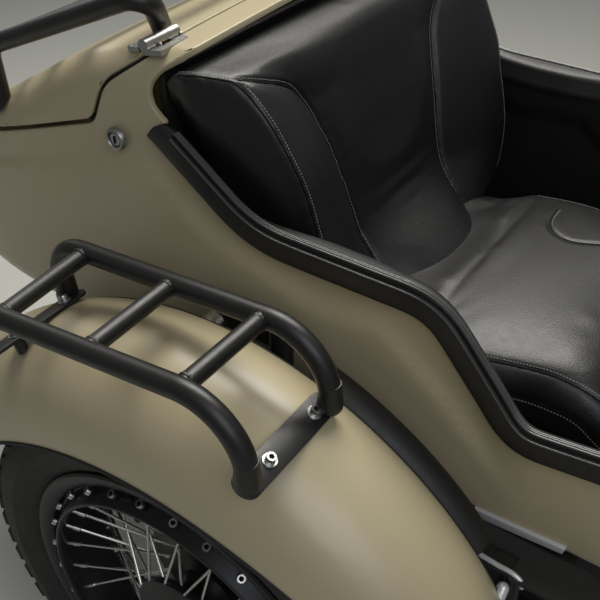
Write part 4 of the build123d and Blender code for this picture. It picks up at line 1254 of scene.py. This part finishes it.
def laid_on(surface, path, aside=0.0, lift=0.0):
    """A line dropped on a surface, moved aside along it and lifted off it, in millimetres."""
    spots = [surface.find_nearest(Vector(p) * MM) for p in path]
    line = np.array([spot[0] / MM for spot in spots])
    line = evened(line, 8)
    ahead = np.gradient(line, axis=0)
    out = []
    for p, t, spot in zip(line, ahead, spots):
        across = np.cross(spot[1], t)
        across /= max(np.linalg.norm(across), 1e-9)
        place, normal, _, _ = surface.find_nearest(Vector(p + across * aside) * MM)
        out.append(np.array(place / MM) + np.array(normal) * lift)
    return evened(np.array(out), 4)


def pressed_in(item, path, depth, width):
    """Presses a groove of a depth and width into a mesh along a line."""
    tree = line_tree(evenly(path, 1.5))
    normals = [v.normal.copy() for v in item.data.vertices]
    for vertex, normal in zip(item.data.vertices, normals):
        distance = tree.find(vertex.co)[2] / MM
        if distance < 3 * width:
            vertex.co -= normal * depth * MM * exp(-((distance / width) ** 2))


# Seams: radii of cord and thread, and how far each lies over the leather
CORD_R, THREAD_R = 1.1, 0.45
CORD_LIFT, THREAD_LIFT = -0.1, 0.3


def sewn(name, item, lines, asides):
    """Lays a dark cord in each seam of a leather piece, painted shade in the seam, and a row of stitches
    aside of it.
    """
    seat = bpy.context.scene.sidecar_seat
    surface = surface_of(item)
    cords = [tube("seam_cord", laid_on(surface, line, 0, CORD_LIFT), CORD_R, seam_cord, 8, (True, True))
             for line in lines]
    settle(joined(f"{name}_cords", cords), "root", "black_leather")
    rows = [laid_on(surface, line, aside, THREAD_LIFT) for line, aside in zip(lines, asides)]
    pitch, length = seat.stitch_pitch, seat.stitch_length
    thread = stitches(f"{name}_stitches", rows, pitch, length, THREAD_R, thread_finish)
    settle(thread, "root", "black_leather")


# Grooves as (depth, width)
RIDGE_GROOVE, VALLEY_GROOVE = (2.2, 3.0), (5.0, 4.2)
# Stitch rows beside the two ridges, valleys and top seams
BACK_ASIDES = (5.0, -5.0, 4.5, -4.5, -5.0, 5.0)


class SIDECAR_OT_seat_back(bpy.types.Operator):
    """Makes the seat back with its bolsters, dark piping that paints shade into its seams, and stitching."""
    bl_idname = "sidecar.seat_back"
    bl_label = "Seat back"

    def execute(self, context):
        back = back_form()
        ridges = [seam_line(RIDGE, side) for side in (-1, 1)]
        valleys = [seam_line(VALLEY, side) for side in (-1, 1)]
        tops = []
        for side, (end, *_) in zip((-1, 1), ridges):
            middle, corner = (44, end[1] + side * 10, 713), (14, TUB_Y + side * 286, 711)
            tops.append(curve_through([end, middle, corner], 4.0))
        pins = [line_tree(line) for line in ridges + valleys + tops]
        swollen(back, BACK_SWELL, pins)
        back.name = "seat_back_leather"
        for line in ridges + tops:
            pressed_in(back, line, *RIDGE_GROOVE)
        for line in valleys:
            pressed_in(back, line, *VALLEY_GROOVE)
        sewn("seat_back", back, ridges + valleys + tops, BACK_ASIDES)
        settle(back, "root", "black_leather", "seat_back", fill=0.75)
        return {"FINISHED"}


CUSHION_X = (106.0, 600.0)
CUSHION_HALF = 205.0
CUSHION_BOTTOM = 318.0
# Cushion top along its middle, as (x, z)
CUSHION_TOP = [
    (100, 397), (230, 400), (262, 416), (330, 425), (412, 430), (449, 434), (480, 429), (500, 419),
    (530, 401), (560, 383), (605, 354),
]
# Its outline is a square rounded by a power, wider by a share at the rear than at the front
CUSHION_POWER, CUSHION_WIDER, CUSHION_NARROWS, NARROWS_X = 5, 1.07, 0.08, (340, 430)
# The form is a little smaller than the cushion, and the cloth may swell it by some millimetres
CLOTH_START, CUSHION_SWELL = 0.985, 7.0
# Rings of the cushion, as (share of its height, scale of its outline)
CUSHION_RINGS = [
    (0.0, 0.95), (0.06, 0.985), (0.2, 1.0), (0.35, 1.005), (0.5, 1.005), (0.6, 1.0), (0.7, 0.985),
    (0.79, 0.962), (0.87, 0.93), (0.93, 0.885), (0.97, 0.82), (0.99, 0.74), (1.0, 0.62), (1.012, 0.45),
    (1.018, 0.28), (1.02, 0.08),
]
# Its border seams by share of the height, from this place in X forward
TOP_SEAM, LOW_SEAM, BORDER_REAR = 0.9, 0.62, 268
CUSHION_INSET = [
    (318, -262, 430), (322, -302, 430), (338, -331, 431), (362, -343, 432), (401, -330, 433),
    (452, -298, 433), (520, -266, 433),
]
# The lower seam sinks towards the cushion's front, between two places in X
LOW_SEAM_SINK, SINK_X = 17.1, (485, 525)
# Grooves as (depth, width), and the stitch rows beside the border and inset seams
BORDER_GROOVE, INSET_GROOVE = (2.2, 3.4), (2.6, 3.6)
CUSHION_ASIDES = (4.5, -4.5, 4.4)


def cushion_ring(share, scale, count=96):
    """A ring of the cushion at a share of its height."""
    low, high = CUSHION_X
    middle = (low + high) / 2
    ring = []
    for k in range(count):
        a = 2 * pi * k / count
        c, s = cos(a), sin(a)
        r = (abs(c) ** CUSHION_POWER + abs(s) ** CUSHION_POWER) ** (-1 / CUSHION_POWER)
        x = middle + (high - low) / 2 * r * c * scale
        width = CUSHION_HALF * (CUSHION_WIDER - CUSHION_NARROWS * smooth_step(x, *NARROWS_X))
        top = float(np.interp(x, *np.array(CUSHION_TOP, float).T))
        ring.append((x, TUB_Y + width * r * s * scale, CUSHION_BOTTOM + (top - CUSHION_BOTTOM) * share))
    return ring


class SIDECAR_OT_cushion(bpy.types.Operator):
    """Makes the seat cushion with its sewn border."""
    bl_idname = "sidecar.cushion"
    bl_label = "Seat cushion"

    def execute(self, context):
        rings = [cushion_ring(share, scale * CLOTH_START) for share, scale in CUSHION_RINGS]
        cushion = loft("cushion_form", rings, black_leather)
        border = []
        for share, sink in ((TOP_SEAM, 0.0), (LOW_SEAM, LOW_SEAM_SINK)):
            scale = float(np.interp(share, *np.array(CUSHION_RINGS).T))
            ring = cushion_ring(share, scale, 240)
            start = ring.index(min(ring, key=lambda p: p[0]))
            ring = ring[start:] + ring[:start]
            ring = [(x, y, z - sink * smooth_step(x, *SINK_X)) for x, y, z in ring if x > BORDER_REAR]
            border.append(evenly(ring, 4.0))
        inset = curve_through(CUSHION_INSET, 4.0)
        swollen(cushion, CUSHION_SWELL, [line_tree(line) for line in border])
        cushion.name = "seat_cushion_leather"
        for line in border:
            pressed_in(cushion, line, *BORDER_GROOVE)
        pressed_in(cushion, inset, *INSET_GROOVE)
        sewn("cushion", cushion, [*border, inset], CUSHION_ASIDES)
        settle(cushion, "root", "black_leather", "seat_cushion", fill=0.7)
        return {"FINISHED"}


# Mudguard section through three-point arcs as (radius about the axle, y)
GUARD_CROWN = [(431, -780), (452, -855), (428, -918)]
GUARD_SHOULDER = [(428, -918), (392, -946), (330, -955)]
GUARD_ANGLES = (20.0, 168.0)
GUARD_SKIN = 3.0
BEAD_R, BEAD_SINK = 2.4, 1.5
SKIRT_ARC_CENTRE, SKIRT_ARC_R = (152.0, -56.0), 442.0
SKIRT_R = (330.0, 388.0)
# Stations round the wheel and points across them; both ends have round corners, flatter on the inside
GUARD_STATIONS, GUARD_POINTS = 150, 49
GUARD_CORNER, INNER_CORNER, GUARD_MEAN_R = 26.0, 0.25, 430
# Section of the liner beside the tub, as (radius about the axle, y)
LINER_SECTION = [(428, -782), (433, -776), (437, -764), (436, -752), (430, -744), (421, -741), (414, -742)]
LINER_ANGLES = (39, 74)
LINER_WALL = 2.5


def wheel_point(radius, y, angle):
    """A place on the wheel, its y measured from the middle and its angle in radians."""
    return np.array((AXLE[0] + radius * cos(angle), AXLE[1] + y, AXLE[2] + radius * sin(angle)))


def about_axle(radius, y, degrees_forward):
    """A place at a radius and angle about the axle."""
    a = radians(degrees_forward)
    return (AXLE[0] + radius * cos(a), y, AXLE[2] + radius * sin(a))


def skirt_reach(angle):
    """Radius at which the mudguard's outer skirt ends."""
    a = radians(angle)
    dx, dz = AXLE[0] - SKIRT_ARC_CENTRE[0], AXLE[2] - SKIRT_ARC_CENTRE[1]
    along = dx * cos(a) + dz * sin(a)
    reach = -along + sqrt(along**2 - dx**2 - dz**2 + SKIRT_ARC_R**2)
    return float(np.clip(reach, *SKIRT_R))


def guard_section(angle):
    """The mudguard's section at an angle as (radius, y), from its inner edge over to the skirt's end."""
    shoulder = arc_through(*GUARD_SHOULDER, 60)[1:]
    end = skirt_reach(angle)
    full = arc_through(*GUARD_CROWN, 26) + [p for p in shoulder if p[0] > end]
    last = next(p for p in shoulder if p[0] <= end)
    before = full[-1]
    t = (before[0] - end) / (before[0] - last[0])
    full.append((end, before[1] + (last[1] - before[1]) * t))
    section = evenly(full, distances(full)[-1] / (GUARD_POINTS - 1))
    low, high = GUARD_ANGLES
    arc_left = ((high - low) / 2 - abs(angle - (low + high) / 2)) * radians(1) * GUARD_MEAN_R
    share = 0.0
    if arc_left < GUARD_CORNER:
        share = GUARD_CORNER - sqrt(GUARD_CORNER**2 - (GUARD_CORNER - arc_left) ** 2)
    length = distances(section)[-1]
    keep = np.linspace(share * INNER_CORNER / length, 1 - share / length, GUARD_POINTS) * (GUARD_POINTS - 1)
    return np.stack([np.interp(keep, range(GUARD_POINTS), section[:, k]) for k in (0, 1)], axis=1)


def face_away(item, centre):
    """Turns an open skin's faces away from a line along Y through a place."""
    builder = bmesh.new()
    builder.from_mesh(item.data)
    bmesh.ops.recalc_face_normals(builder, faces=builder.faces)
    middle = Vector(centre) * MM
    votes = 0
    for face in builder.faces:
        away = face.calc_center_median() - middle
        votes += 1 if away.dot(face.normal) > 0 else -1
    if votes < 0:
        bmesh.ops.reverse_faces(builder, faces=builder.faces)
    builder.to_mesh(item.data)
    builder.free()


def pulled_in(path, distance):
    """A line about the axle moved towards it."""
    path = np.array(path, float)
    away = path - (AXLE[0], 0, AXLE[2])
    away[:, 1] = 0
    return path - distance * unit(away)


class SIDECAR_OT_mudguard(bpy.types.Operator):
    """Makes the pressed mudguard with a black rubber bead along its edge, dark as painted shadow under the
    edge, and the liner beside the tub.
    """
    bl_idname = "sidecar.mudguard"
    bl_label = "Mudguard and liner"

    def execute(self, context):
        rings, outer, inner = [], [], []
        for angle in np.linspace(*GUARD_ANGLES, GUARD_STATIONS):
            ring = [about_axle(r, y, angle) for r, y in guard_section(angle)]
            rings.append(ring)
            inner.append(ring[0])
            outer.append(ring[-1])
        guard = loft("mudguard_skin", rings, sand_paint, closed=False, caps=False)
        face_away(guard, (AXLE[0], -850, AXLE[2]))
        thickened(guard, GUARD_SKIN)
        bevelled(guard, 1.0, 2, radians(50))
        settle(guard, "root", "sand_paint", "mudguard")
        edge = [outer[0]] + rings[0][::-1][2:-2:3] + inner + rings[-1][2:-2:3] + outer[::-1] + [outer[0]]
        # The bead is black: painted shadow along the guard's edge
        bead = tube("mudguard_bead", pulled_in(evenly(edge, 7.0), BEAD_SINK), BEAD_R, mount_rubber, 10)
        settle(bead, "root", "mount_rubber")
        section = curve_through(LINER_SECTION, 2.5)
        rings = [[about_axle(r, y, angle) for r, y in section] for angle in np.linspace(*LINER_ANGLES, 50)]
        skirt = loft("inner_liner_skin", rings, moulded_plastic, closed=False, caps=False)
        face_away(skirt, (AXLE[0], -764, AXLE[2]))
        thickened(skirt, LINER_WALL)
        bevelled(skirt, 0.8, 2, radians(50))
        settle(skirt, "root", "black_plastic", "inner_liner")
        return {"FINISHED"}


# Mudguard rack: rails as (y, rear foot, rear corner, front corner, front foot), rungs as (x, near z, far z)
RACK_RAILS = [
    (-943, (-84, 450), (-98, 513), (285, 559), (282, 473)),
    (-815, (-84, 450), (-97, 523), (291, 554), (289, 473)),
]
RACK_BENDS = [48, 68]
RACK_RUNGS = [(-36, 520.5, 528), (91, 536, 538), (210, 550, 547.5)]
RACK_RAIL_R, RACK_RUNG_R = 12.0, 10.0
# Straps across the mudguard's crown: angle about the axle, radius of the top face, half width, ends in y
STRAP_ANGLES = (69.4, 114.8)
STRAP_TOP, STRAP_THICK, STRAP_HALF = 456.5, 4.0, 15.0
STRAP_Y = (-943, -815)
STRAP_BOLT_Y = (-907, -831)
SPACER_R = 7.0
# A rail's foot, washer and socket floor as (radius, height)
FOOT = [
    (11, -27), (12.1, -20), (12.6, -12), (13.3, -6), (13.7, 0), (13.2, 5), (11, 9), (7, 11.4),
    (1, 12.2),
]
WASHER = [(8.2, 0), (8.2, 0.9), (7.8, 1.3), (0.5, 1.3)]
BOLT_SOCKET = [(2.5, 5.0), (2.3, 5.3), (0.2, 5.3)]
# A bolt's head as (radius, height, half of its socket's width), standing on its washer
RACK_BOLT, WASHER_THICK = (5.4, 6.6, 3.0), 1.2
# How far a weld bead sits inside the rail and inside the rung, and its size
WELD_IN_RAIL, WELD_IN_RUNG, WELD_SIZE = 1.5, 0.6, 2.2


def weld(centre, axis, radius):
    """A bead of weld round a bar where it meets another: a ring with small ripples."""
    rings = []
    turn = placed((0, 0, 0), axis).to_3x3()
    for k in range(48):
        a = 2 * pi * k / 48
        thick = WELD_SIZE * (1 + 0.16 * sin(13 * a))
        ring = []
        for j in range(8):
            b = 2 * pi * j / 8
            r = radius + thick * 0.75 * cos(b)
            spot = turn @ Vector((r * cos(a), r * sin(a), thick * sin(b)))
            ring.append(np.array(centre) + np.array(spot))
        rings.append(ring)
    points = [p for ring in rings for p in ring]
    return outward(mesh_piece("weld", points, grid_faces(48, 8, True, True), black_powder_coat))


def strap(angle):
    """A flat strap with round ends, tangent to the mudguard's crown."""
    a = radians(angle)
    along = np.array((sin(a), 0, -cos(a)))
    low, high = STRAP_Y
    outline = [(STRAP_HALF * cos(t), low - STRAP_HALF * 0.8 * sin(t)) for t in np.linspace(0, pi, 13)]
    outline += [(-STRAP_HALF * cos(t), high + STRAP_HALF * 0.8 * sin(t)) for t in np.linspace(0, pi, 13)]
    rings = [[np.array(about_axle(r, y, angle)) + along * x for x, y in outline]
             for r in (STRAP_TOP - STRAP_THICK, STRAP_TOP)]
    return bevelled(loft("strap", rings, black_powder_coat), 0.8)


def crown_radius(y):
    """Radius of the mudguard's crown about the axle at a place across it."""
    ux, uy, size = circle_through(*GUARD_CROWN)
    return ux + sqrt(size**2 - (y - uy) ** 2)


class SIDECAR_OT_racks(bpy.types.Operator):
    """Makes the mudguard rack with its feet, weld beads, straps and bolts, and coats the lid rack."""
    bl_idname = "sidecar.racks"
    bl_label = "Racks"

    def execute(self, context):
        dress("lid_rack", black_powder_coat)
        bars = []
        for y, *corners in RACK_RAILS:
            corners = [(x, y, z) for x, z in corners]
            line = evenly(rounded_path(corners, RACK_BENDS, 4.0), 5.0)
            bars.append(tube("rail", line, RACK_RAIL_R, black_powder_coat, 28))
            for end in (corners[0], corners[-1]):
                foot = lathe_up("foot", FOOT, 32, radians(60))
                foot.data.materials.append(finish(black_powder_coat))
                foot.data.transform(placed(end, (0, 0, -1)))
                bars.append(foot)
        (near, *_), (far, *_) = RACK_RAILS
        for x, near_z, far_z in RACK_RUNGS:
            ends = [np.array((x, near, near_z), float), np.array((x, far, far_z), float)]
            bars.append(tube("rung", np.linspace(*ends, 6), RACK_RUNG_R, black_powder_coat, 28))
            for end, side in zip(ends, (1, -1)):
                centre = end + (0, side * (RACK_RAIL_R - WELD_IN_RAIL), 0)
                bars.append(weld(centre, (0, 1, 0), RACK_RUNG_R - WELD_IN_RUNG))
        settle(joined("mudguard_rack_bars", bars), "root", "black_powder_coat", "mudguard_rack")
        straps, spacers, bolts, washers = [], [], [], []
        for angle in STRAP_ANGLES:
            straps.append(strap(angle))
            axis = (cos(radians(angle)), 0, sin(radians(angle)))
            for y in STRAP_BOLT_Y:
                line = [about_axle(r, y, angle) for r in np.linspace(crown_radius(y) - 1, STRAP_TOP - 2, 4)]
                spacers.append(tube("spacer", line, SPACER_R, black_powder_coat, 20))
                washers.append(placed(about_axle(STRAP_TOP, y, angle), axis))
                bolts.append(placed(about_axle(STRAP_TOP + WASHER_THICK, y, angle), axis))
        settle(joined("rack_straps", straps + spacers), "root", "black_powder_coat", "rack_plates")
        washer = lathe_up("washer", WASHER, 32)
        settle(copies("rack_washers", washer, washers, zinc_steel), "root", "stainless_steel")
        settle(copies("rack_bolts", socket_head(*RACK_BOLT), bolts, zinc_steel), "root", "stainless_steel")
        # Dark floors in the bolts' sockets: painted shade in the recesses
        floor = lathe_up("socket_floor", BOLT_SOCKET, 12)
        settle(copies("bolt_sockets", floor, bolts, seam_cord), "root", "black_leather")
        return {"FINISHED"}


# Sill strip as (x, z) corners between two places in y
SILL, SILL_Y = [(420, 297), (425, 285), (525, 293), (527, 302)], (-702, -713.5)
# Bright edge of the step, its stay as start and step, and the tray between them and the tub
STEP_EDGE = [
    (438, -757.5, 287), (470, -760.5, 287.4), (496, -763, 287), (502, -763.5, 283), (503, -763.5, 276),
]
STEP_EDGE_R = 3.0
STAY_START, STAY_STEP, STAY_R = (486, -773, 272), (0, -8, -7.6), 7.0
STEP_TRAY = (430, -765, 281), (540, -700, 284.6)
# Trunk lock on the tub's side: its ring and face as (radius, y), and the key slot's corners
LOCK_PLACE = (-77, -708, 612)
LOCK_RING = [(9.2, 0), (9.2, -4.5), (10.4, -6), (12.6, -5.4), (14, -3.6), (14.4, 0)]
LOCK_FACE = [(0.3, 0), (0.3, -4.2), (7.4, -4.2), (8.2, -3.4), (8.2, 0)]
LOCK_SLOT = (-78.0, -713.4, 607.5), (-76.0, -711.5, 616.5)
# Screws in each hinge as body, node and (x, distance from the tub's middle, z)
HINGE_SCREWS = [
    ("lid", "hinge_lid_leaves", [(-66, 270, 716), (-55, 266, 718)]),
    ("root", "hinge_body_leaves", [(-27, 260, 724), (-30, 222, 724)]),
]
SCREW_HEAD = [(3.6, 0), (3.4, 0.9), (2.4, 1.6), (1.2, 1.9), (1.1, 1.0), (0.3, 1.0)]


class SIDECAR_OT_trims(bpy.types.Operator):
    """Adds the bright step trims, the trunk lock and the hinge screws."""
    bl_idname = "sidecar.trims"
    bl_label = "Trims and lock"

    def execute(self, context):
        rings = [[(x, y, z) for x, z in SILL] for y in SILL_Y]
        strip = bevelled(loft("sill_strip", rings, brushed_aluminium), 0.8)
        line = curve_through(STEP_EDGE, 3.0)
        edge = tube("step_edge", line, STEP_EDGE_R, brushed_aluminium, 12, (True, True))
        line = [np.array(STAY_START) + k * np.array(STAY_STEP) for k in range(6)]
        stay = tube("step_stay", line, STAY_R, brushed_aluminium, 20, (True, False))
        settle(joined("step_trims", [strip, edge, stay]), "root", "stainless_steel")
        settle(box_piece("step_tray", *STEP_TRAY, moulded_plastic, 1.0), "root", "black_plastic")
        ring = lathe("lock_ring", LOCK_RING, nickel_plate, LOCK_PLACE, 48)
        face = lathe("lock_face", LOCK_FACE, nickel_plate, LOCK_PLACE, 48)
        # The key slot is a dark box: painted shade in the slot
        slot = box_piece("lock_slot", *LOCK_SLOT, seam_cord)
        settle(joined("trunk_lock", [ring, face, slot]), "root", "chrome_plate", "lid_lock")
        for body, node, spots in HINGE_SCREWS:
            surface = surface_of(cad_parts[node])
            places = []
            for x, out, z in [(x, side * out, z) for side in (-1, 1) for x, out, z in spots]:
                place, normal, _, _ = surface.find_nearest(Vector((x, TUB_Y + out, z)) * MM)
                places.append(placed(place / MM, normal if normal.z > 0 else -normal))
            screws = copies(f"hinge_screws_{body}", lathe_up("screw", SCREW_HEAD, 20), places, zinc_steel)
            settle(screws, body, "stainless_steel")
        return {"FINISHED"}


# Near side of the tyre from the bead out, as (radius, y)
TYRE_SIDE = [
    (231, -34), (252, -36), (258, -41), (263, -44.5), (265, -45.5), (267, -46), (272, -48.5),
    (280, -51.5), (292, -53.8), (294, -54.6), (296, -54.6), (298, -53.9), (308, -53), (318, -50.5),
    (326, -47),
]
# Rows of blocks as (y, length round, width across, phase)
TREAD_ROWS = [
    (-39.5, 27, 15, 0.0), (-21, 24, 15, 0.5), (0, 22, 15, 0.0), (21, 24, 15, 0.5), (39.5, 27, 15, 0.0),
]
# Bend of the tread across the tyre, and how far its blocks start under it
TREAD_ARC_R = 74.0
BLOCK_SINK, BLOCK_ROOT = 1.5, 1.4


def tread_radius(y, top):
    """Radius of the tread's crown across the tyre."""
    return top - TREAD_ARC_R + sqrt(TREAD_ARC_R**2 - y * y)


def mirrored_profile(near):
    """A wheel outline given for its near half, closed with its mirror."""
    return list(near) + [(r, -y) for r, y in reversed(near)]


def tread_block(length, width, height):
    """One tread block: a tapered block with a sipe across it, X round the tyre."""
    half_l, half_w = length / 2, width / 2
    outline = [
        (-half_l, -half_w), (-1.0, -half_w), (-0.5, -half_w * 0.55), (0.5, -half_w * 0.55), (1.0, -half_w),
        (half_l, -half_w * 0.9), (half_l, half_w * 0.9), (-half_l, half_w),
    ]
    rings = []
    for z, grow in ((0, 1.12), (height * 0.85, 1.0), (height, 0.93)):
        rings.append([(x * grow, y * grow, z) for x, y in outline])
    return loft("block", rings, None, radians(25))


class SIDECAR_OT_tyre(bpy.types.Operator):
    """Makes the tyre with its tread blocks and sidewall ribs."""
    bl_idname = "sidecar.tyre"
    bl_label = "Tyre"

    def execute(self, context):
        wheel = context.scene.sidecar_wheel
        base = TYRE_R - wheel.lug_height
        crown = [(tread_radius(y, base), y) for y in np.linspace(-44, -4, 9)]
        profile = mirrored_profile(TYRE_SIDE + crown)
        carcass = lathe("tyre_carcass", profile, tyre_rubber, sides=192)
        blocks = []
        for y, length, width, phase in TREAD_ROWS:
            places = []
            for k in range(wheel.lugs):
                a = 2 * pi * (k + phase) / wheel.lugs
                tilt = asin(y / TREAD_ARC_R)
                axis = (cos(a) * cos(tilt), sin(tilt), sin(a) * cos(tilt))
                spot = wheel_point(tread_radius(y, base) - BLOCK_SINK, y, a)
                places.append(placed(spot, axis, (-sin(a), 0, cos(a))))
            block = tread_block(length, width, wheel.lug_height + BLOCK_ROOT)
            blocks.append(copies("tread_row", block, places, tyre_rubber))
        settle(joined("tyre_blocks", blocks), "wheel", "tyre_rubber")
        settle(carcass, "wheel", "tyre_rubber", "tyre")
        return {"FINISHED"}


# Rim section, near half, as (radius, y): bead lip, channel, spoke flange and barrel
RIM_NEAR = [
    (231, -34.5), (254, -34.5), (255, -38), (254.4, -43), (251.5, -45.4), (246, -45.6), (237, -42),
    (231.5, -38.5), (229.8, -36), (228.8, -32), (227, -29.5), (224.5, -29), (222.6, -31),
    (215.2, -49.5), (213, -52), (210, -52), (207.6, -49), (207.2, -44), (212.5, -30), (215.5, -16),
    (216.5, -6),
]
# Valve: its place in spoke heads from the first and across the wheel, then reach and radius of stem and cap
VALVE_AT, VALVE_Y = 7.5, -37
STEM_REACH, STEM_R = (224, 196), 3.4
CAP_REACH, CAP_R = (200, 188), 4.4
# Hub section, near half, as (radius, y)
HUB_NEAR = [
    (12.5, -44), (26, -44), (29, -43), (31, -40), (33, -39), (70, -38), (74, -36.5), (75, -34),
    (75, -28), (74, -25.5), (70, -24), (52, -22.5), (44, -18), (40, -8), (39, -2),
]


def spoke_lines():
    """Each spoke as (head, hub end), from one side of the rim across to the other side of the hub."""
    lines = []
    for side in (-1, 1):
        for count in range(SPOKES_PER_SIDE):
            at = FIRST_HEAD + 2 * pi * (count + (0.5 if side > 0 else 0)) / SPOKES_PER_SIDE
            turn = 1 if count % 2 else -1
            head = wheel_point(HEAD_RING_R, side * HEAD_RING_Y, at)
            foot = wheel_point(HUB_FLANGE_R - 1, -side * (HUB_FLANGE_Y + turn * SPOKE_STAGGER),
                               at + turn * SPOKE_LEAN)
            lines.append((head, foot))
    return lines


class SIDECAR_OT_rim(bpy.types.Operator):
    """Makes the rim with its spoke flanges, and the hub."""
    bl_idname = "sidecar.rim"
    bl_label = "Rim and hub"

    def execute(self, context):
        rim = lathe("rim_alloy", mirrored_profile(RIM_NEAR), rim_black, sides=224)
        settle(rim, "wheel", "black_powder_coat", "rim")
        hub = lathe("hub_shell", mirrored_profile(HUB_NEAR), rim_black, sides=128)
        settle(hub, "wheel", "black_powder_coat", "hub")
        # Valve between two spoke heads
        at = FIRST_HEAD - 2 * pi * VALVE_AT / SPOKES_PER_SIDE
        line = [wheel_point(r, VALVE_Y, at) for r in np.linspace(*STEM_REACH, 8)]
        stem = tube("valve_stem", line, STEM_R, mount_rubber, 16)
        line = [wheel_point(r, VALVE_Y, at) for r in np.linspace(*CAP_REACH, 5)]
        cap = tube("valve_cap", line, CAP_R, mount_rubber, 16, (False, True))
        settle(joined("tyre_valve", [stem, cap]), "wheel", "stainless_steel")
        return {"FINISHED"}


# A head's socket floor and a nipple as (radius, height)
SPOKE_SOCKET = [(2.8, 4.6), (2.6, 4.9), (0.2, 4.9)]
NIPPLE = [(2.6, -6), (2.6, 7), (3.5, 7.5), (3.5, 17), (2.6, 18), (2.2, 18.5)]
# A head as (radius, height, half of its socket's width), its place over the ring and the nipple's below it
SPOKE_HEAD, HEAD_LIFT, NIPPLE_DROP = (5.4, 6.0, 3.4), 3.2, 13.0
WIRE_R = 2.0


class SIDECAR_OT_spokes(bpy.types.Operator):
    """Makes the wire spokes with their nipples and socket heads."""
    bl_idname = "sidecar.spokes"
    bl_label = "Spokes"

    def execute(self, context):
        wires, heads, nipples = [], [], []
        for head, foot in spoke_lines():
            run = foot - head
            axis = -unit(run)
            line = [head + run * t for t in (0.06, 0.5, 1.0)]
            wires.append(tube("wire", line, WIRE_R, stainless_steel, 10))
            heads.append(placed(head + axis * HEAD_LIFT, axis))
            nipples.append(placed(head - axis * NIPPLE_DROP, -axis))
        settle(joined("spoke_wires", wires), "wheel", "stainless_steel", "spokes")
        screw = socket_head(*SPOKE_HEAD)
        settle(copies("spoke_heads", screw, heads, zinc_steel), "wheel", "stainless_steel")
        # Dark floors in the heads' sockets: painted shade in the recesses
        floor = lathe_up("socket_floor", SPOKE_SOCKET, 12)
        settle(copies("spoke_sockets", floor, heads, seam_cord), "wheel", "black_leather")
        nipple = lathe_up("nipple", NIPPLE, 16)
        settle(copies("spoke_nipples", nipple, nipples, zinc_steel), "wheel", "stainless_steel")
        return {"FINISHED"}


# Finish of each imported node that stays
NODE_FINISH = {
    "floor_pan": black_powder_coat, "bulkhead": moulded_plastic, "seat_base": moulded_plastic,
    "floor_mat": floor_rubber, "hinge_body_leaves": nickel_plate, "hinge_lid_leaves": nickel_plate,
    "lid_lock": nickel_plate, "body_mounts": mount_rubber, "axle": stainless_steel,
    "shock_absorber": stainless_steel, "shock_spring": sprung_steel, "brake_caliper": cast_steel,
    "brake_disc": disc_steel, "step_plate": floor_rubber, "tail_lamp_housing": chrome_plate,
    "tail_lamp_lens": red_lens,
}


class SIDECAR_OT_chassis(bpy.types.Operator):
    """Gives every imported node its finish."""
    bl_idname = "sidecar.chassis"
    bl_label = "Chassis and fittings"

    def execute(self, context):
        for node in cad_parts:
            dress(node, NODE_FINISH.get(node, black_powder_coat))
        return {"FINISHED"}


def main():
    """Builds every piece in its order."""
    register()
    bpy.ops.sidecar.stage()
    bpy.ops.sidecar.chassis()
    bpy.ops.sidecar.tub()
    bpy.ops.sidecar.lid()
    bpy.ops.sidecar.padding()
    bpy.ops.sidecar.seat_back()
    bpy.ops.sidecar.cushion()
    bpy.ops.sidecar.mudguard()
    bpy.ops.sidecar.racks()
    bpy.ops.sidecar.trims()
    bpy.ops.sidecar.tyre()
    bpy.ops.sidecar.rim()
    bpy.ops.sidecar.spokes()


SETTINGS = {
    TubSettings: "sidecar_tub",
    SeatSettings: "sidecar_seat",
    WheelSettings: "sidecar_wheel",
    StageSettings: "sidecar_stage",
}
OPERATORS = (
    SIDECAR_OT_stage, SIDECAR_OT_chassis, SIDECAR_OT_tub, SIDECAR_OT_lid, SIDECAR_OT_padding,
    SIDECAR_OT_seat_back, SIDECAR_OT_cushion, SIDECAR_OT_mudguard, SIDECAR_OT_racks, SIDECAR_OT_trims,
    SIDECAR_OT_tyre, SIDECAR_OT_rim, SIDECAR_OT_spokes,
)


class SIDECAR_PT_panel(bpy.types.Panel):
    """Lists the sidecar's settings and pieces."""
    bl_idname = "SIDECAR_PT_panel"
    bl_label = "Passenger sidecar"
    bl_space_type = "VIEW_3D"
    bl_region_type = "UI"
    bl_category = "Sidecar"

    def draw(self, context):
        for group, name in SETTINGS.items():
            settings = getattr(context.scene, name)
            for field in group.__annotations__:
                self.layout.prop(settings, field)
        for operator in OPERATORS:
            self.layout.operator(operator.bl_idname)


def register():
    for group, name in SETTINGS.items():
        bpy.utils.register_class(group)
        setattr(bpy.types.Scene, name, bpy.props.PointerProperty(type=group))
    for item in (*OPERATORS, SIDECAR_PT_panel):
        bpy.utils.register_class(item)


def unregister():
    for item in (SIDECAR_PT_panel, *reversed(OPERATORS)):
        bpy.utils.unregister_class(item)
    for group, name in SETTINGS.items():
        delattr(bpy.types.Scene, name)
        bpy.utils.unregister_class(group)


if __name__ == "__main__":
    main()
